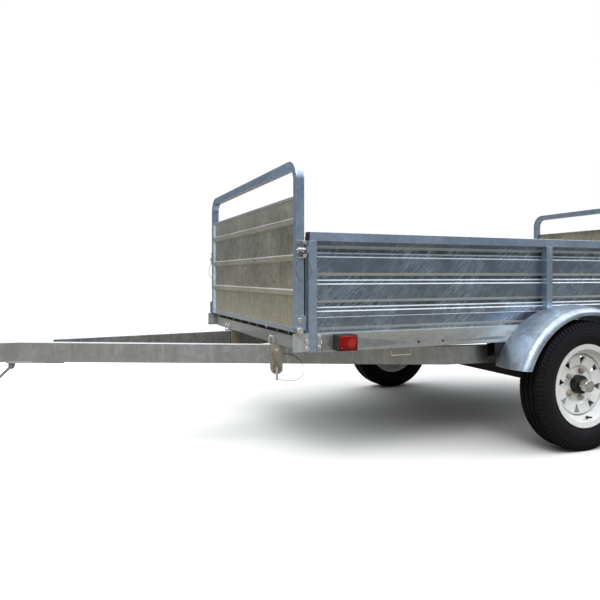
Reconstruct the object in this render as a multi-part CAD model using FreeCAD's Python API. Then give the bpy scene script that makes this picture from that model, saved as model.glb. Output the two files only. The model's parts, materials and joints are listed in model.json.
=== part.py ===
"""Tilting utility trailer with galvanised side walls, two folding hoop gates and a prop stand.

Millimetres. +Z is up and the ground is Z = 0. -X points forward, to the hitch, and +X to the rear.
The left side of the trailer is -Y. The origin lies on the ground, midway along and across the trailer.
Every shape is drawn for the left side or the front, and mirrored for its partner.
"""
import FreeCAD, Part
import math
import os

Vec = FreeCAD.Vector
os.makedirs("parts", exist_ok=True)

# ---------------------------------------------------------------- driving dimensions
bed_length = 2256.0          # over the end posts
bed_width = 1260.0           # over the side posts
nose_reach = 1180.0          # bed front to the coupler's nose
frame_overhang = 60.0        # corner brackets beyond the end posts

rail_bottom = 439.0
rail_height = 65.0
rail_flange = 45.0
rail_wall = 3.0
rail_lip = 22.0              # turned lips of the channel's open side

cross_height = 48.0
cross_depth = 48.0
cross_beyond = 16.0          # cross member's face beyond the end posts
cross_wall = 3.0

tube = 32.0                  # square tube of posts, top rails and hoops
tube_wall = 2.0
top_rail_top = 869.0
plug_length = 4.0

sheet_gauge = 1.5
groove_depth = 11.0
groove_pitch = 99.5
groove_top = 823.0           # upper lip of the highest groove
groove_count = 4
groove_slope = 11.0
groove_base = 14.0
groove_step = 4.0
groove_ledge = 10.0
sheet_lap = 18.0             # sheet's lap behind the top rail

deck_gauge = 2.0
deck_web_pitch = 127.0
deck_web_gauge = 3.0
deck_depth = 15.0
deck_side_gap = 1.0
deck_end_lap = 4.0

bearer_width = 40.0
bearer_places = (0.22, 0.60, 0.80)    # shares of the bed's length

hoop_height = 1131.0         # top of the gates' hoops
hoop_bend = 60.0             # bend radius on the tube's centre line
hoop_face = 43.0             # hoop's outer face, beyond the end posts
gate_bottom = 508.0
gate_window = 99.0           # between the panel's top and the hoop's bar
gate_panel_set = 10.0        # panel field behind the hoop's outer face
bead_drops = (91.0, 223.0, 349.0)    # beads' middles below the panel's top
bead_height = 26.0
bead_depth = 8.0
hem_depth = 12.0

gate_pivot_out = 36.0        # gate pivot beyond the end posts
gate_pivot_height = 519.0
pivot_radius = 6.0
running_gap = 0.05
foot_gauge = 5.0
foot_top = 571.0
foot_width = 42.0
ear_gauge = 5.0
ear_top = 508.0
ear_tab_radius = 15.0
ear_foot_gap = 2.0           # between a corner bracket's ear and the gate's foot
flange_plate_width = 16.0
flange_plate_gauge = 4.0

latch_height = 803.0
latch_pin_radius = 5.0
latch_play = 2.0
latch_plate_bottom = 775.0
latch_plate_top = 838.0
latch_plate_gauge = 8.0

tongue_slope = 0.3144        # sideways run of a beam for each mm forward
beam_height = 75.0
beam_width = 38.0
beam_wall = 3.0
beam_inset = 81.0            # outer face of the parallel part, inside the posts' outer faces
beam_bend_back = 650.0       # bend, behind the bed's front
beam_end_back = 965.0
beam_bottom_front = 361.0    # beam's underside below the bed's front
tongue_rise = 1.2            # degrees, nose up

nose_width = 76.0
nose_back_reach = 840.0
ball_ahead = 21.0            # ball's centre ahead of the nose tube
ball_radius = 25.8
coupler_radius = 39.0
coupler_gauge = 5.0
coupler_sleeve = 84.0
lever_length = 74.0
gusset_gauge = 5.0
gusset_front_reach = 1006.0
gusset_back_reach = 800.0

tilt_back = 930.0            # tilt pivot behind the bed's front
tilt_pin_radius = 8.0
tilt_ear_gauge = 6.0
tilt_ear_length = 60.0
tilt_ear_gap = 3.0

clevis_front = 33.0          # lock clevis, ahead of the bed's front
clevis_length = 48.0
clevis_gauge = 6.0
clevis_drop = 39.0           # clevis below the beam
clevis_side_gap = 5.0        # clevis plates beside the beam
lock_pin_radius = 6.0

stand_reach = 988.0          # stand hinge, ahead of the bed's front
stand_hinge_drop = 15.0      # hinge below the gusset plate
stand_rod = 5.0              # radius of the leg's rod
stand_knee = 231.0           # level where the slanting leg turns down
stand_foot_half = 110.0
stand_foot_radius = 6.0
stand_lug_gauge = 5.0
stand_eye_radius = 11.0
stand_eye_width = 26.0
stand_bend = 45.0

axle_back = 1163.5
tyre_radius = 265.0
tyre_width = 122.0
tyre_shoulder = 16.0         # rounding of the tread's edge, across
bead_gap = 0.6               # tyre clear of the rim's flanges
bead_lean = 4.0              # slope of a rim flange, across
tyre_gap = 49.0              # between the posts' outer faces and the tyre
bead_radius = 152.0
rim_flange_radius = 170.0
rim_width = 100.0
rim_gauge = 3.5
rim_barrel_radius = 146.0
disc_dish = 52.0             # hub face inside the rim's outer edge
disc_gauge = 4.0
disc_land = 70.0             # radius of the disc's flat middle
disc_step = 80.0
disc_shoulder = 120.0
disc_rise = 9.0
window_count = 8
window_turn = 8.0           # of the first window from straight up
window_inner = 78.0
window_outer = 116.0
window_half = 17.0
hub_radius = 38.0
hub_nose = 26.0              # hub beyond the disc
hub_bolt_flange = 68.0
hub_bolt_flange_gauge = 9.0
cap_radius = 25.0
cap_length = 40.0
axle_size = 45.0
spindle_radius = 15.0

spring_half = 305.0
spring_eye_height = 390.0
leaf_width = 40.0
leaf_gauge = 7.0
leaf_shares = (1.0, 0.78, 0.54, 0.32)
spring_inset = 5.0           # spring inside the posts' outer faces
eye_radius = 13.0
eye_pin_radius = 7.0
hanger_gauge = 4.5
hanger_length = 54.0
clamp_length = 96.0
clamp_gauge = 8.0
clamp_rod = 5.0

fender_centre_height = 222.0
fender_radius = 370.0        # crown
fender_inner_drop = 18.0     # roof's inner edge below the crown
fender_crown_out = 90.0      # crown's line outside the posts' outer faces
fender_skirt_radius = 331.0
fender_width = 178.0
fender_roll = 26.0
fender_gauge = 2.0
fender_flange = 26.0
fender_foot_height = 345.0

lamp_front = 94.0            # lamp's front edge behind the bed's front
lamp_length = 77.0
lamp_depth = 48.0
lamp_top_gap = 2.0
lamp_height = 57.0
lens_proud = 6.0
lens_rim = 3.0

rail_hole_back = 462.0
rail_hole_spacing = 112.0
rail_hole_radius = 5.0
rail_hole_height = 458.0

lock_handle_radius = 4.0
lock_handle_out = 14.0       # handle beyond the clevis's outer plate
lock_handle_low = 302.0
wire_radius = 1.0            # wire lanyards
wire_hold = 4.0              # length of a wire's end inside what holds it

# Points of the left lock pin's lanyard: along the beam from the clevis, out from it, and level.
lock_lanyard = (
    # along, out, level
    (20.0, 27.0, 402.0),
    (47.0, 27.0, 401.0),
    (75.0, 28.0, 391.0),
    (98.0, 30.0, 370.0),
    (112.0, 32.0, 342.0),
    (105.0, 34.0, 315.0),
    (84.0, 36.0, 299.0),
    (56.0, 37.0, 294.0),
    (30.0, 38.0, 297.0),
    (-7.0, 44.0, 305.0),
)
# Points of the front left latch pin's lanyard: behind the bed's front, out from the side, and level.
latch_lanyard = (
    # back, out, level
    (-38.0, 2.0, 798.0),
    (-47.0, 9.0, 772.0),
    (-54.0, 10.0, 742.0),
    (-50.0, 10.0, 711.0),
    (-31.0, 10.0, 689.0),
    (-7.0, 10.0, 692.0),
    (6.0, 10.0, 718.0),
    (4.0, 10.0, 749.0),
    (-13.0, 8.0, 774.0),
    (-25.0, 2.0, 797.0),
)

# ---------------------------------------------------------------- derived places
overall = nose_reach + bed_length + frame_overhang
bed_front = -overall / 2 + nose_reach
bed_rear = bed_front + bed_length
bed_mid = (bed_front + bed_rear) / 2
half_width = bed_width / 2
side = -half_width                       # plane of the left posts' outer faces
rail_top = rail_bottom + rail_height
deck_top = rail_top
deck_bottom = deck_top - deck_depth
cross_top = deck_bottom
cross_bottom = cross_top - cross_height
inner_post = side + tube                 # inner faces of the left posts
ball_reach = nose_reach - coupler_radius
nose_front_reach = ball_reach - ball_ahead
axle_x = bed_front + axle_back
wheel_out = side - tyre_gap - tyre_width / 2     # middle of the left tyre
rim_face = wheel_out - rim_width / 2             # outer edge of the left rim
disc_face = rim_face + disc_dish
tilt_x = bed_front + tilt_back
gate_panel_top = hoop_height - tube - gate_window
bead_heights = [gate_panel_top - drop for drop in bead_drops]
hoop_out = side + ear_gauge + ear_foot_gap + foot_gauge    # hoop's outer face


# ---------------------------------------------------------------- shape helpers
def box(x0, x1, y0, y1, z0, z1):
    low = Vec(min(x0, x1), min(y0, y1), min(z0, z1))
    return Part.makeBox(abs(x1 - x0), abs(y1 - y0), abs(z1 - z0), low)


def rod_x(x0, x1, y, z, radius):
    return Part.makeCylinder(radius, abs(x1 - x0), Vec(min(x0, x1), y, z), Vec(1, 0, 0))


def rod_y(x, y0, y1, z, radius):
    return Part.makeCylinder(radius, abs(y1 - y0), Vec(x, min(y0, y1), z), Vec(0, 1, 0))


def rod_z(x, y, z0, z1, radius):
    return Part.makeCylinder(radius, abs(z1 - z0), Vec(x, y, min(z0, z1)), Vec(0, 0, 1))


def prism(points, along):
    """Extrude a closed polygon of points along a vector."""
    loop = Part.makePolygon([Vec(*p) for p in points] + [Vec(*points[0])])
    return Part.Face(loop).extrude(Vec(*along))


def prism_x(yz, x0, x1):
    return prism([(x0, y, z) for y, z in yz], (x1 - x0, 0, 0))


def prism_y(xz, y0, y1):
    return prism([(x, y0, z) for x, z in xz], (0, y1 - y0, 0))


def prism_z(xy, z0, z1):
    return prism([(x, y, z0) for x, y in xy], (0, 0, z1 - z0))


def fuse(shapes):
    whole = shapes[0]
    for shape in shapes[1:]:
        whole = whole.fuse(shape)
    return whole.removeSplitter()


def to_right(shape):
    return shape.mirror(Vec(0, 0, 0), Vec(0, 1, 0))


def to_rear(shape):
    return shape.mirror(Vec(bed_mid, 0, 0), Vec(1, 0, 0))


def corners(shape):
    """The four corner copies of a shape drawn at the front left."""
    pair = [shape, to_right(shape)]
    return pair + [to_rear(s) for s in pair]


def tongue_pitch(shape):
    """Lift the nose of a shape drawn level, about the beams' underside at the bed's front."""
    tilted = shape.copy()
    tilted.rotate(Vec(bed_front, 0, beam_bottom_front), Vec(0, 1, 0), tongue_rise)
    return tilted


def revolve_y(profile, x, z, angle=360.0, start=0.0):
    """Turn a face of (y, radius) edges, drawn upright above the axis, about a line along Y."""
    ring = profile.copy()
    ring.translate(Vec(x, 0, z))
    if start:
        ring.rotate(Vec(x, 0, z), Vec(0, 1, 0), start)
    return ring.revolve(Vec(x, 0, z), Vec(0, 1, 0), angle)


def face_yr(points):
    """A face in the plane x = 0 from (y, radius) corners."""
    loop = [Vec(0, y, r) for y, r in points]
    return Part.Face(Part.makePolygon(loop + [loop[0]]))


nodes = {}


def add(name, *shapes):
    """Keep one or more solids, which don't touch each other, as a node."""
    nodes[name] = shapes[0] if len(shapes) == 1 else Part.makeCompound(list(shapes))


# ---------------------------------------------------------------- bed frame
def side_rail():
    x0 = bed_front + tube
    x1 = bed_rear - tube
    rail = box(x0, x1, side, side + rail_flange, rail_bottom, rail_top)
    hollow = box(x0, x1, side + rail_wall, side + rail_flange - rail_wall,
                 rail_bottom + rail_wall, rail_top - rail_wall)
    mouth = box(x0, x1, side + rail_wall, side + rail_flange,
                rail_bottom + rail_lip, rail_top - rail_lip)
    rail = rail.cut(hollow).cut(mouth)
    for k in range(2):
        hole_x = bed_front + rail_hole_back + k * rail_hole_spacing
        rail = rail.cut(rod_y(hole_x, side - 1, side + rail_wall + 1, rail_hole_height, rail_hole_radius))
    return rail


def cross_member():
    """End channel, open to the bed, between the posts and under the gate."""
    x0 = bed_front - cross_beyond
    x1 = x0 + cross_depth
    y = half_width - tube
    beam = box(x0, x1, -y, y, cross_bottom, cross_top)
    hollow = box(x0 + cross_wall, x1, -y + cross_wall, y - cross_wall,
                 cross_bottom + cross_wall, cross_top - cross_wall)
    return beam.cut(hollow)


def bearer(x):
    """Top-hat bearer across the bed, between the side rails' lips."""
    y = half_width - rail_flange
    beam = box(x - bearer_width / 2, x + bearer_width / 2, -y, y,
               rail_bottom + rail_wall, deck_bottom)
    hollow = box(x - bearer_width / 2 + rail_wall, x + bearer_width / 2 - rail_wall, -y, y,
                 rail_bottom + rail_wall, deck_bottom - rail_wall)
    return beam.cut(hollow)


def deck():
    """Flat sheet on a row of down-turned webs, one at each joint between planks."""
    half = half_width - rail_flange - deck_side_gap
    x0 = bed_front - deck_end_lap
    x1 = bed_rear + deck_end_lap
    plate = [box(x0, x1, -half, half, deck_top - deck_gauge, deck_top)]
    webs = int(half // deck_web_pitch) + 1
    for k in range(-webs, webs):
        y = (k + 0.5) * deck_web_pitch
        if abs(y) < half:
            plate.append(box(x0, x1, y - deck_web_gauge / 2, y + deck_web_gauge / 2,
                             deck_bottom, deck_top - deck_gauge))
    return fuse(plate)


def square_tube_x(x0, x1, y0, z0):
    outer = box(x0, x1, y0, y0 + tube, z0, z0 + tube)
    return outer.cut(box(x0, x1, y0 + tube_wall, y0 + tube - tube_wall,
                         z0 + tube_wall, z0 + tube - tube_wall))


def post(x0, z0):
    outer = box(x0, x0 + tube, side, inner_post, z0, top_rail_top - tube)
    return outer.cut(box(x0 + tube_wall, x0 + tube - tube_wall, side + tube_wall,
                         inner_post - tube_wall, z0, top_rail_top - tube))


def sheet_outline():
    """Outer edge of the corrugated wall, from top to bottom, as (y, z) on the outer skin."""
    field = inner_post
    base = field + groove_depth
    ledge = field + groove_depth / 2
    line = [(field, top_rail_top - tube + sheet_lap)]
    for k in range(groove_count):
        z = groove_top - k * groove_pitch
        line.append((field, z))
        line.append((base, z - groove_slope))
        z -= groove_slope + groove_base
        if z < rail_top:
            break
        line.append((base, z))
        line.append((ledge, z - groove_step))
        line.append((ledge, z - groove_step - groove_ledge))
        line.append((field, z - 2 * groove_step - groove_ledge))
    line.append((line[-1][0], rail_top))
    return line


def side_sheet():
    """Wall sheet between the end posts, on the inner faces of the posts."""
    outer = sheet_outline()
    inner = [(y + sheet_gauge, z) for y, z in reversed(outer)]
    return prism_x(outer + inner, bed_front, bed_rear)


def corner_ear():
    """Plate on the front of the end post with the gate's pivot pin."""
    x_pin = bed_front - gate_pivot_out
    z0 = cross_bottom + 2
    plate = box(bed_front - frame_overhang, bed_front, side, side + ear_gauge, z0, ear_top)
    tab = rod_y(x_pin, side, side + ear_gauge, gate_pivot_height, ear_tab_radius)
    web = box(bed_front - ear_gauge, bed_front, side, inner_post, z0, ear_top)
    pin = rod_y(x_pin, side - 5, hoop_out, gate_pivot_height, pivot_radius)
    return fuse([plate, tab, web, pin])


def flange_plate():
    """Bolted plate behind the end post, on the side rail."""
    x0 = bed_front + tube
    return box(x0, x0 + flange_plate_width, side - flange_plate_gauge, side, rail_bottom + 3, rail_top)


add("side_rail_left", side_rail())
add("side_rail_right", to_right(side_rail()))
add("cross_member_front", cross_member())
add("cross_member_rear", to_rear(cross_member()))
bearers = [bearer(bed_front + share * bed_length) for share in bearer_places]
add("floor_bearers", bearer(tilt_x), *bearers)
add("floor_deck", deck())

rail_x0 = bed_front + plug_length
rail_x1 = bed_rear - plug_length
top_rail = square_tube_x(rail_x0, rail_x1, side, top_rail_top - tube)
add("top_rail_left", top_rail)
add("top_rail_right", to_right(top_rail))
plug = box(bed_front, rail_x0, side, inner_post, top_rail_top - tube, top_rail_top)
add("rail_plugs", *corners(plug))

end_post = post(bed_front, rail_bottom)
mid_post = post(bed_mid - tube / 2, rail_top)
left_posts = [end_post, mid_post, to_rear(end_post)]
add("posts_left", *left_posts)
add("posts_right", *[to_right(p) for p in left_posts])
add("side_sheet_left", side_sheet())
add("side_sheet_right", to_right(side_sheet()))
add("corner_brackets", *corners(corner_ear()))
add("rail_flanges", *corners(flange_plate()))


# ---------------------------------------------------------------- gates
def hoop():
    """Square tube bent into an upside-down U, its outer face beyond the end posts."""
    x0 = bed_front - hoop_face
    x1 = x0 + tube
    bend_y = hoop_out + tube / 2 + hoop_bend
    bend_z = hoop_height - tube / 2 - hoop_bend
    pieces = [box(x0, x1, bend_y, -bend_y, hoop_height - tube, hoop_height)]
    for sign in (-1, 1):
        leg_y = hoop_out if sign < 0 else -hoop_out - tube
        pieces.append(box(x0, x1, leg_y, leg_y + tube, gate_bottom, bend_z))
        section = Part.makePolygon([Vec(x0, sign * abs(hoop_out), bend_z),
                                    Vec(x1, sign * abs(hoop_out), bend_z),
                                    Vec(x1, sign * (abs(hoop_out) - tube), bend_z),
                                    Vec(x0, sign * (abs(hoop_out) - tube), bend_z),
                                    Vec(x0, sign * abs(hoop_out), bend_z)])
        centre = Vec(x0, sign * abs(bend_y), bend_z)
        pieces.append(Part.Face(section).revolve(centre, Vec(1, 0, 0), sign * 90))
    return fuse(pieces)


def gate_panel():
    """Sheet between the hoop's legs with three outward beads and a folded hem top and bottom."""
    field = bed_front - hoop_face + gate_panel_set
    crest = field - bead_depth
    outer = [(field + hem_depth, gate_panel_top), (field, gate_panel_top)]
    for z in bead_heights:
        half = bead_height / 2
        slope = bead_depth / 2
        outer += [(field, z + half), (crest, z + half - slope), (crest, z - half + slope), (field, z - half)]
    outer += [(field, gate_bottom), (field + hem_depth, gate_bottom)]
    lip = gate_bottom + sheet_gauge
    inner = [(field + hem_depth, lip), (field + sheet_gauge, lip)]
    for z in reversed(bead_heights):
        half = bead_height / 2 - sheet_gauge / 2
        slope = bead_depth / 2
        back = crest + sheet_gauge
        inner += [(field + sheet_gauge, z - half), (back, z - half + slope),
                  (back, z + half - slope), (field + sheet_gauge, z + half)]
    inner += [(field + sheet_gauge, gate_panel_top - sheet_gauge),
              (field + hem_depth, gate_panel_top - sheet_gauge)]
    reach = -hoop_out - tube
    return prism_y(outer + inner, -reach, reach)


def gate_foot():
    """Plate on the outside of a hoop leg, reaching down to the pivot pin."""
    y0 = hoop_out - foot_gauge
    x_pin = bed_front - gate_pivot_out
    x0 = x_pin - ear_tab_radius
    plate = box(x0, x0 + foot_width, y0, hoop_out, gate_pivot_height, foot_top)
    boss = rod_y(x_pin, y0, hoop_out, gate_pivot_height, ear_tab_radius)
    hole = rod_y(x_pin, y0 - 1, hoop_out + 1, gate_pivot_height, pivot_radius + running_gap)
    return fuse([plate, boss]).cut(hole)


def latch_plate():
    """Plate on the hoop's leg with the draw pin, which slides into the catch on the post."""
    x0 = bed_front - hoop_face
    y0 = hoop_out - latch_plate_gauge
    plate = box(x0, x0 + tube - 4, y0, hoop_out, latch_plate_bottom, latch_plate_top)
    barrel_y = hoop_out - latch_plate_gauge
    barrel = rod_x(x0, x0 + tube - 4, barrel_y, latch_height, 2 * latch_pin_radius)
    pin = rod_x(x0 - 4, bed_front - 2, barrel_y, latch_height, latch_pin_radius)
    return fuse([plate, barrel.cut(box(x0, x0 + tube, hoop_out, hoop_out + tube, 0, hoop_height)), pin])


def latch_catch():
    """Socket on the front of the end post, with play all round the draw pin."""
    x0 = bed_front - hoop_face + tube
    y = hoop_out - latch_plate_gauge
    outer = box(x0 + 1, bed_front, side - 6, y + 2 * latch_pin_radius,
                latch_height - 2.4 * latch_pin_radius, latch_height + 2.4 * latch_pin_radius)
    return outer.cut(rod_x(x0, bed_front, y, latch_height, latch_pin_radius + latch_play))


hoop_shape = hoop()
panel_shape = gate_panel()
feet = [gate_foot(), to_right(gate_foot())]
latches = [latch_plate(), to_right(latch_plate())]
for where, move in (("front", lambda s: s), ("rear", to_rear)):
    add("gate_hoop_" + where, move(hoop_shape))
    add("gate_panel_" + where, move(panel_shape))
    add("gate_feet_" + where, *[move(s) for s in feet])
    add("gate_latches_" + where, *[move(s) for s in latches])
add("latch_catches", *corners(latch_catch()))


# ---------------------------------------------------------------- tongue
def beam_outer_y(back):
    """Distance of the left beam's outer face from the centre, at a place behind the bed's front."""
    return half_width - beam_inset - tongue_slope * max(0.0, beam_bend_back - back)


def beam_outline(inset):
    """Plan of a beam, taken in from its outer and inner faces by a wall's thickness."""
    lean = math.hypot(1.0, tongue_slope)
    wide_front = (beam_width - inset) * lean
    nose = -nose_reach
    tip = beam_outer_y(nose)
    points = [(nose, tip - inset * lean), (beam_bend_back, beam_outer_y(beam_bend_back) - inset),
              (beam_end_back, beam_outer_y(beam_end_back) - inset),
              (beam_end_back, beam_outer_y(beam_end_back) - beam_width + inset),
              (beam_bend_back, beam_outer_y(beam_bend_back) - beam_width + inset),
              (nose, tip - wide_front)]
    return [(bed_front + x, -y) for x, y in points]


def tongue_beam():
    z0 = beam_bottom_front
    z1 = z0 + beam_height
    beam = prism_z(beam_outline(0.0), z0, z1)
    beam = beam.cut(prism_z(beam_outline(beam_wall), z0 + beam_wall, z1 - beam_wall))
    nose_side = box(bed_front - 2 * nose_reach, bed_front, -nose_width / 2, nose_width * 9, z0 - 1, z1 + 1)
    beam = tongue_pitch(beam.cut(nose_side))
    pin_hole = rod_y(tilt_x, -half_width, 0, tilt_z, tilt_pin_radius)
    return beam.cut(pin_hole)


def beam_level(back):
    """Underside of the pitched beams at a place behind the bed's front."""
    return beam_bottom_front - back * math.tan(math.radians(tongue_rise))


tilt_z = beam_level(tilt_back) + beam_height / 2
nose_z0 = beam_bottom_front
nose_z1 = nose_z0 + beam_height


def nose_tube():
    x0 = bed_front - nose_front_reach
    x1 = bed_front - nose_back_reach
    half = nose_width / 2
    outer = box(x0, x1, -half, half, nose_z0, nose_z1)
    outer = outer.cut(box(x0, x1, -half + beam_wall, half - beam_wall,
                          nose_z0 + beam_wall, nose_z1 - beam_wall))
    return tongue_pitch(outer)


def gusset():
    """Plate under the apex of the tongue with the two lugs of the stand's hinge."""
    corners_xy = []
    for reach in (gusset_front_reach, gusset_back_reach):
        y = max(nose_width / 2, beam_outer_y(-reach) - 6)
        corners_xy.append((bed_front - reach, y))
    (xf, yf), (xb, yb) = corners_xy
    plate = prism_z([(xf, -yf), (xb, -yb), (xb, yb), (xf, yf)], nose_z0 - gusset_gauge, nose_z0)
    plate = tongue_pitch(plate)
    lugs = []
    for sign in (-1, 1):
        y0 = sign * (stand_eye_width / 2 + 0.5)
        y1 = y0 + sign * stand_lug_gauge
        lug = box(stand_x - stand_eye_radius, stand_x + stand_eye_radius, y0, y1, stand_z, stand_plate_z)
        lug = lug.fuse(rod_y(stand_x, y0, y1, stand_z, stand_eye_radius))
        lugs.append(lug)
    reach = stand_eye_width / 2 + stand_lug_gauge + 4
    pin = rod_y(stand_x, -reach, reach, stand_z, stand_rod + 1)
    return fuse([plate] + lugs + [pin])


stand_x = bed_front - stand_reach
stand_plate_z = beam_level(-stand_reach) - gusset_gauge + 1
stand_z = stand_plate_z - stand_hinge_drop


def stand():
    """Bent rod leg: an eye on the hinge pin, a slanting run, a knee, an upright and a cross foot."""
    eye = rod_y(stand_x, -stand_eye_width / 2, stand_eye_width / 2, stand_z, stand_eye_radius)
    knee_x = stand_x - (stand_z - stand_knee)
    start = Vec(stand_x, 0, stand_z)
    knee = Vec(knee_x, 0, stand_knee)
    end = Vec(knee_x, 0, stand_foot_radius)
    leg = tube_along([start, knee, end], stand_rod, [stand_bend])
    foot = rod_y(knee_x, -stand_foot_half, stand_foot_half, stand_foot_radius, stand_foot_radius)
    whole = fuse([eye, leg, foot])
    return whole.cut(rod_y(stand_x, -stand_eye_width, stand_eye_width, stand_z, stand_rod + 1 + running_gap))


def coupler():
    """Pressed ball coupler: a sleeve over the nose tube and a domed socket ahead of it."""
    half = nose_width / 2 + coupler_gauge
    z1 = nose_z1 + coupler_gauge
    x_back = bed_front - nose_front_reach + coupler_sleeve
    x_ball = bed_front - ball_reach
    z_ball = nose_z1 - 14
    sleeve = box(x_ball, x_back, -half, half, nose_z0 + 8, z1)
    sleeve = sleeve.cut(box(bed_front - nose_front_reach - 6, x_back, -nose_width / 2, nose_width / 2,
                            nose_z0, nose_z1))
    dome = rod_z(x_ball, 0, nose_z0 + 18, z_ball, coupler_radius)
    dome = dome.fuse(Part.makeSphere(coupler_radius, Vec(x_ball, 0, z_ball)))
    ahead = box(x_ball - coupler_radius, x_ball + coupler_radius, -half, half, nose_z0 + 18, z1 + 18)
    sleeve = sleeve.cut(box(x_ball - 2 * coupler_radius, x_ball, -half, half, 0, z1 + 2 * coupler_radius))
    body = fuse([sleeve, dome.common(ahead)])
    socket = Part.makeSphere(ball_radius, Vec(x_ball, 0, z_ball - 8))
    throat = rod_z(x_ball, 0, nose_z0, z_ball - 8, ball_radius)
    tube_room = box(bed_front - nose_front_reach, x_back, -nose_width / 2, nose_width / 2, nose_z0, nose_z1)
    return tongue_pitch(body.cut(tube_room).cut(socket).cut(throat))


def coupler_lever():
    """Latch lever lying along the top of the coupler."""
    z0 = nose_z1 + coupler_gauge
    x0 = bed_front - nose_front_reach + 12
    x1 = x0 + lever_length
    profile = [(x0, z0), (x0, z0 + 16), (x0 + 20, z0 + 24), (x1, z0 + 30), (x1, z0 + 24), (x0 + 30, z0 + 12),
               (x0 + 26, z0)]
    return tongue_pitch(prism_y(profile, -11, 11))


beam_lean = math.degrees(math.atan(tongue_slope))
clevis_back = clevis_length / 2 - clevis_front
clevis_y = beam_outer_y(clevis_back) - beam_width / 2 * math.hypot(1.0, tongue_slope)
plate_in = beam_width / 2 + clevis_side_gap          # clevis plate's inner face from the beam's middle


def beside_beam(shape):
    """Turn a shape drawn along X about the origin to lie along the left beam at the clevis."""
    moved = shape.copy()
    moved.rotate(Vec(0, 0, 0), Vec(0, 0, 1), -beam_lean)
    moved.translate(Vec(bed_front + clevis_back, -clevis_y, 0))
    return moved


def clevis():
    """Two plates beside the left beam, under the cross member, and the drawn lock pin."""
    z0 = beam_level(clevis_back) - clevis_drop
    z1 = cross_bottom
    half = clevis_length / 2
    chamfer = 12
    outline = [(-half, z1), (-half, z0 + chamfer), (-half + chamfer, z0), (half - chamfer, z0),
               (half, z0 + chamfer), (half, z1)]
    plates = [prism_y(outline, y0, y0 + clevis_gauge) for y0 in (-plate_in - clevis_gauge, plate_in)]
    z_pin = beam_level(clevis_back) - 20
    y_handle = -plate_in - clevis_gauge - lock_handle_out
    pin = rod_y(0, y_handle, -plate_in, z_pin, lock_pin_radius)
    handle = rod_z(0, y_handle, lock_handle_low, z_pin + lock_handle_radius, lock_handle_radius)
    return [beside_beam(s) for s in (fuse([plates[0], pin, handle]), plates[1])]


def tube_along(points, radius, bends):
    """Round rod along straight runs joined by tangent arcs, one bend radius for each inner point."""
    pieces = []
    last = points[0]
    for here, after, bend in zip(points[1:-1], points[2:], bends):
        before = (last - here).normalize()
        ahead = (after - here).normalize()
        half_turn = (math.pi - before.getAngle(ahead)) / 2
        cut = bend * math.tan(half_turn)
        start = here + before * cut
        inward = (before + ahead).normalize()
        centre = here + inward * (bend / math.cos(half_turn))
        pieces.append(Part.makeCylinder(radius, (start - last).Length, last, start - last))
        disc = Part.Face(Part.Wire([Part.makeCircle(radius, start, before)]))
        pieces.append(disc.revolve(centre, ahead.cross(before), math.degrees(2 * half_turn)))
        last = here + ahead * cut
    pieces.append(Part.makeCylinder(radius, (points[-1] - last).Length, last, points[-1] - last))
    return fuse(pieces)


add("tongue_beam_left", tongue_beam())
add("tongue_beam_right", to_right(tongue_beam()))
add("tongue_nose", nose_tube())
add("tongue_gusset", gusset())
add("coupler", coupler())
add("coupler_lever", coupler_lever())
clevis_parts = clevis()
add("lock_clevises", *(clevis_parts + [to_right(c) for c in clevis_parts]))
add("prop_stand", stand())


# ---------------------------------------------------------------- tilt pivot
beam_outer_end = half_width - beam_inset


def tilt_ears():
    """Two ears under the middle bearer, either side of a beam's rear end."""
    ears = []
    for y in (beam_outer_end + tilt_ear_gap, beam_outer_end - beam_width - tilt_ear_gap - tilt_ear_gauge):
        x0 = tilt_x - tilt_ear_length / 2
        plate = box(x0, x0 + tilt_ear_length, -y - tilt_ear_gauge, -y, tilt_z, rail_bottom + rail_wall)
        tip = rod_y(tilt_x, -y - tilt_ear_gauge, -y, tilt_z, tilt_ear_length / 2)
        hole = rod_y(tilt_x, -y - 2 * tilt_ear_gauge, -y + tilt_ear_gauge, tilt_z,
                     tilt_pin_radius + running_gap)
        ears.append(fuse([plate, tip]).cut(hole))
    return ears


def tilt_pin():
    y0 = beam_outer_end + tilt_ear_gap + tilt_ear_gauge + 6
    y1 = beam_outer_end - beam_width - tilt_ear_gap - tilt_ear_gauge - 6
    return rod_y(tilt_x, -y0, -y1, tilt_z, tilt_pin_radius)


ears = tilt_ears()
add("tilt_ears", *(ears + [to_right(e) for e in ears]))
add("tilt_pins", tilt_pin(), to_right(tilt_pin()))


# ---------------------------------------------------------------- axle and springs
def axle():
    y = -(disc_face + hub_bolt_flange_gauge + 12)
    beam = box(axle_x - axle_size / 2, axle_x + axle_size / 2, -y, y,
               tyre_radius - axle_size / 2, tyre_radius + axle_size / 2)
    spindle_end = -(disc_face - hub_nose + 4)
    return beam.fuse(rod_y(axle_x, -spindle_end, spindle_end, tyre_radius, spindle_radius))


spring_y0 = side + spring_inset
spring_y1 = spring_y0 + leaf_width
spring_seat = tyre_radius + axle_size / 2
spring_main = spring_seat + leaf_gauge * len(leaf_shares)
arch = spring_eye_height - spring_main
arch_radius = (spring_half ** 2 + arch ** 2) / (2 * arch)


def leaf(level, share):
    """One leaf: an arc band, its ends square, as long as its share of the main leaf."""
    centre_z = spring_main + arch_radius
    outer = arch_radius + level * leaf_gauge
    inner = outer - leaf_gauge
    angle = math.asin(spring_half * share / arch_radius)
    points = []
    for radius in (outer, inner):
        for turn in (-angle, 0, angle):
            points.append(Vec(axle_x + radius * math.sin(turn), spring_y0, centre_z - radius * math.cos(turn)))
    o1, o2, o3, i1, i2, i3 = points
    edges = [Part.Arc(o1, o2, o3).toShape(), Part.makeLine(o3, i3), Part.Arc(i3, i2, i1).toShape(),
             Part.makeLine(i1, o1)]
    return Part.Face(Part.Wire(edges)).extrude(Vec(0, leaf_width, 0))


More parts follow.
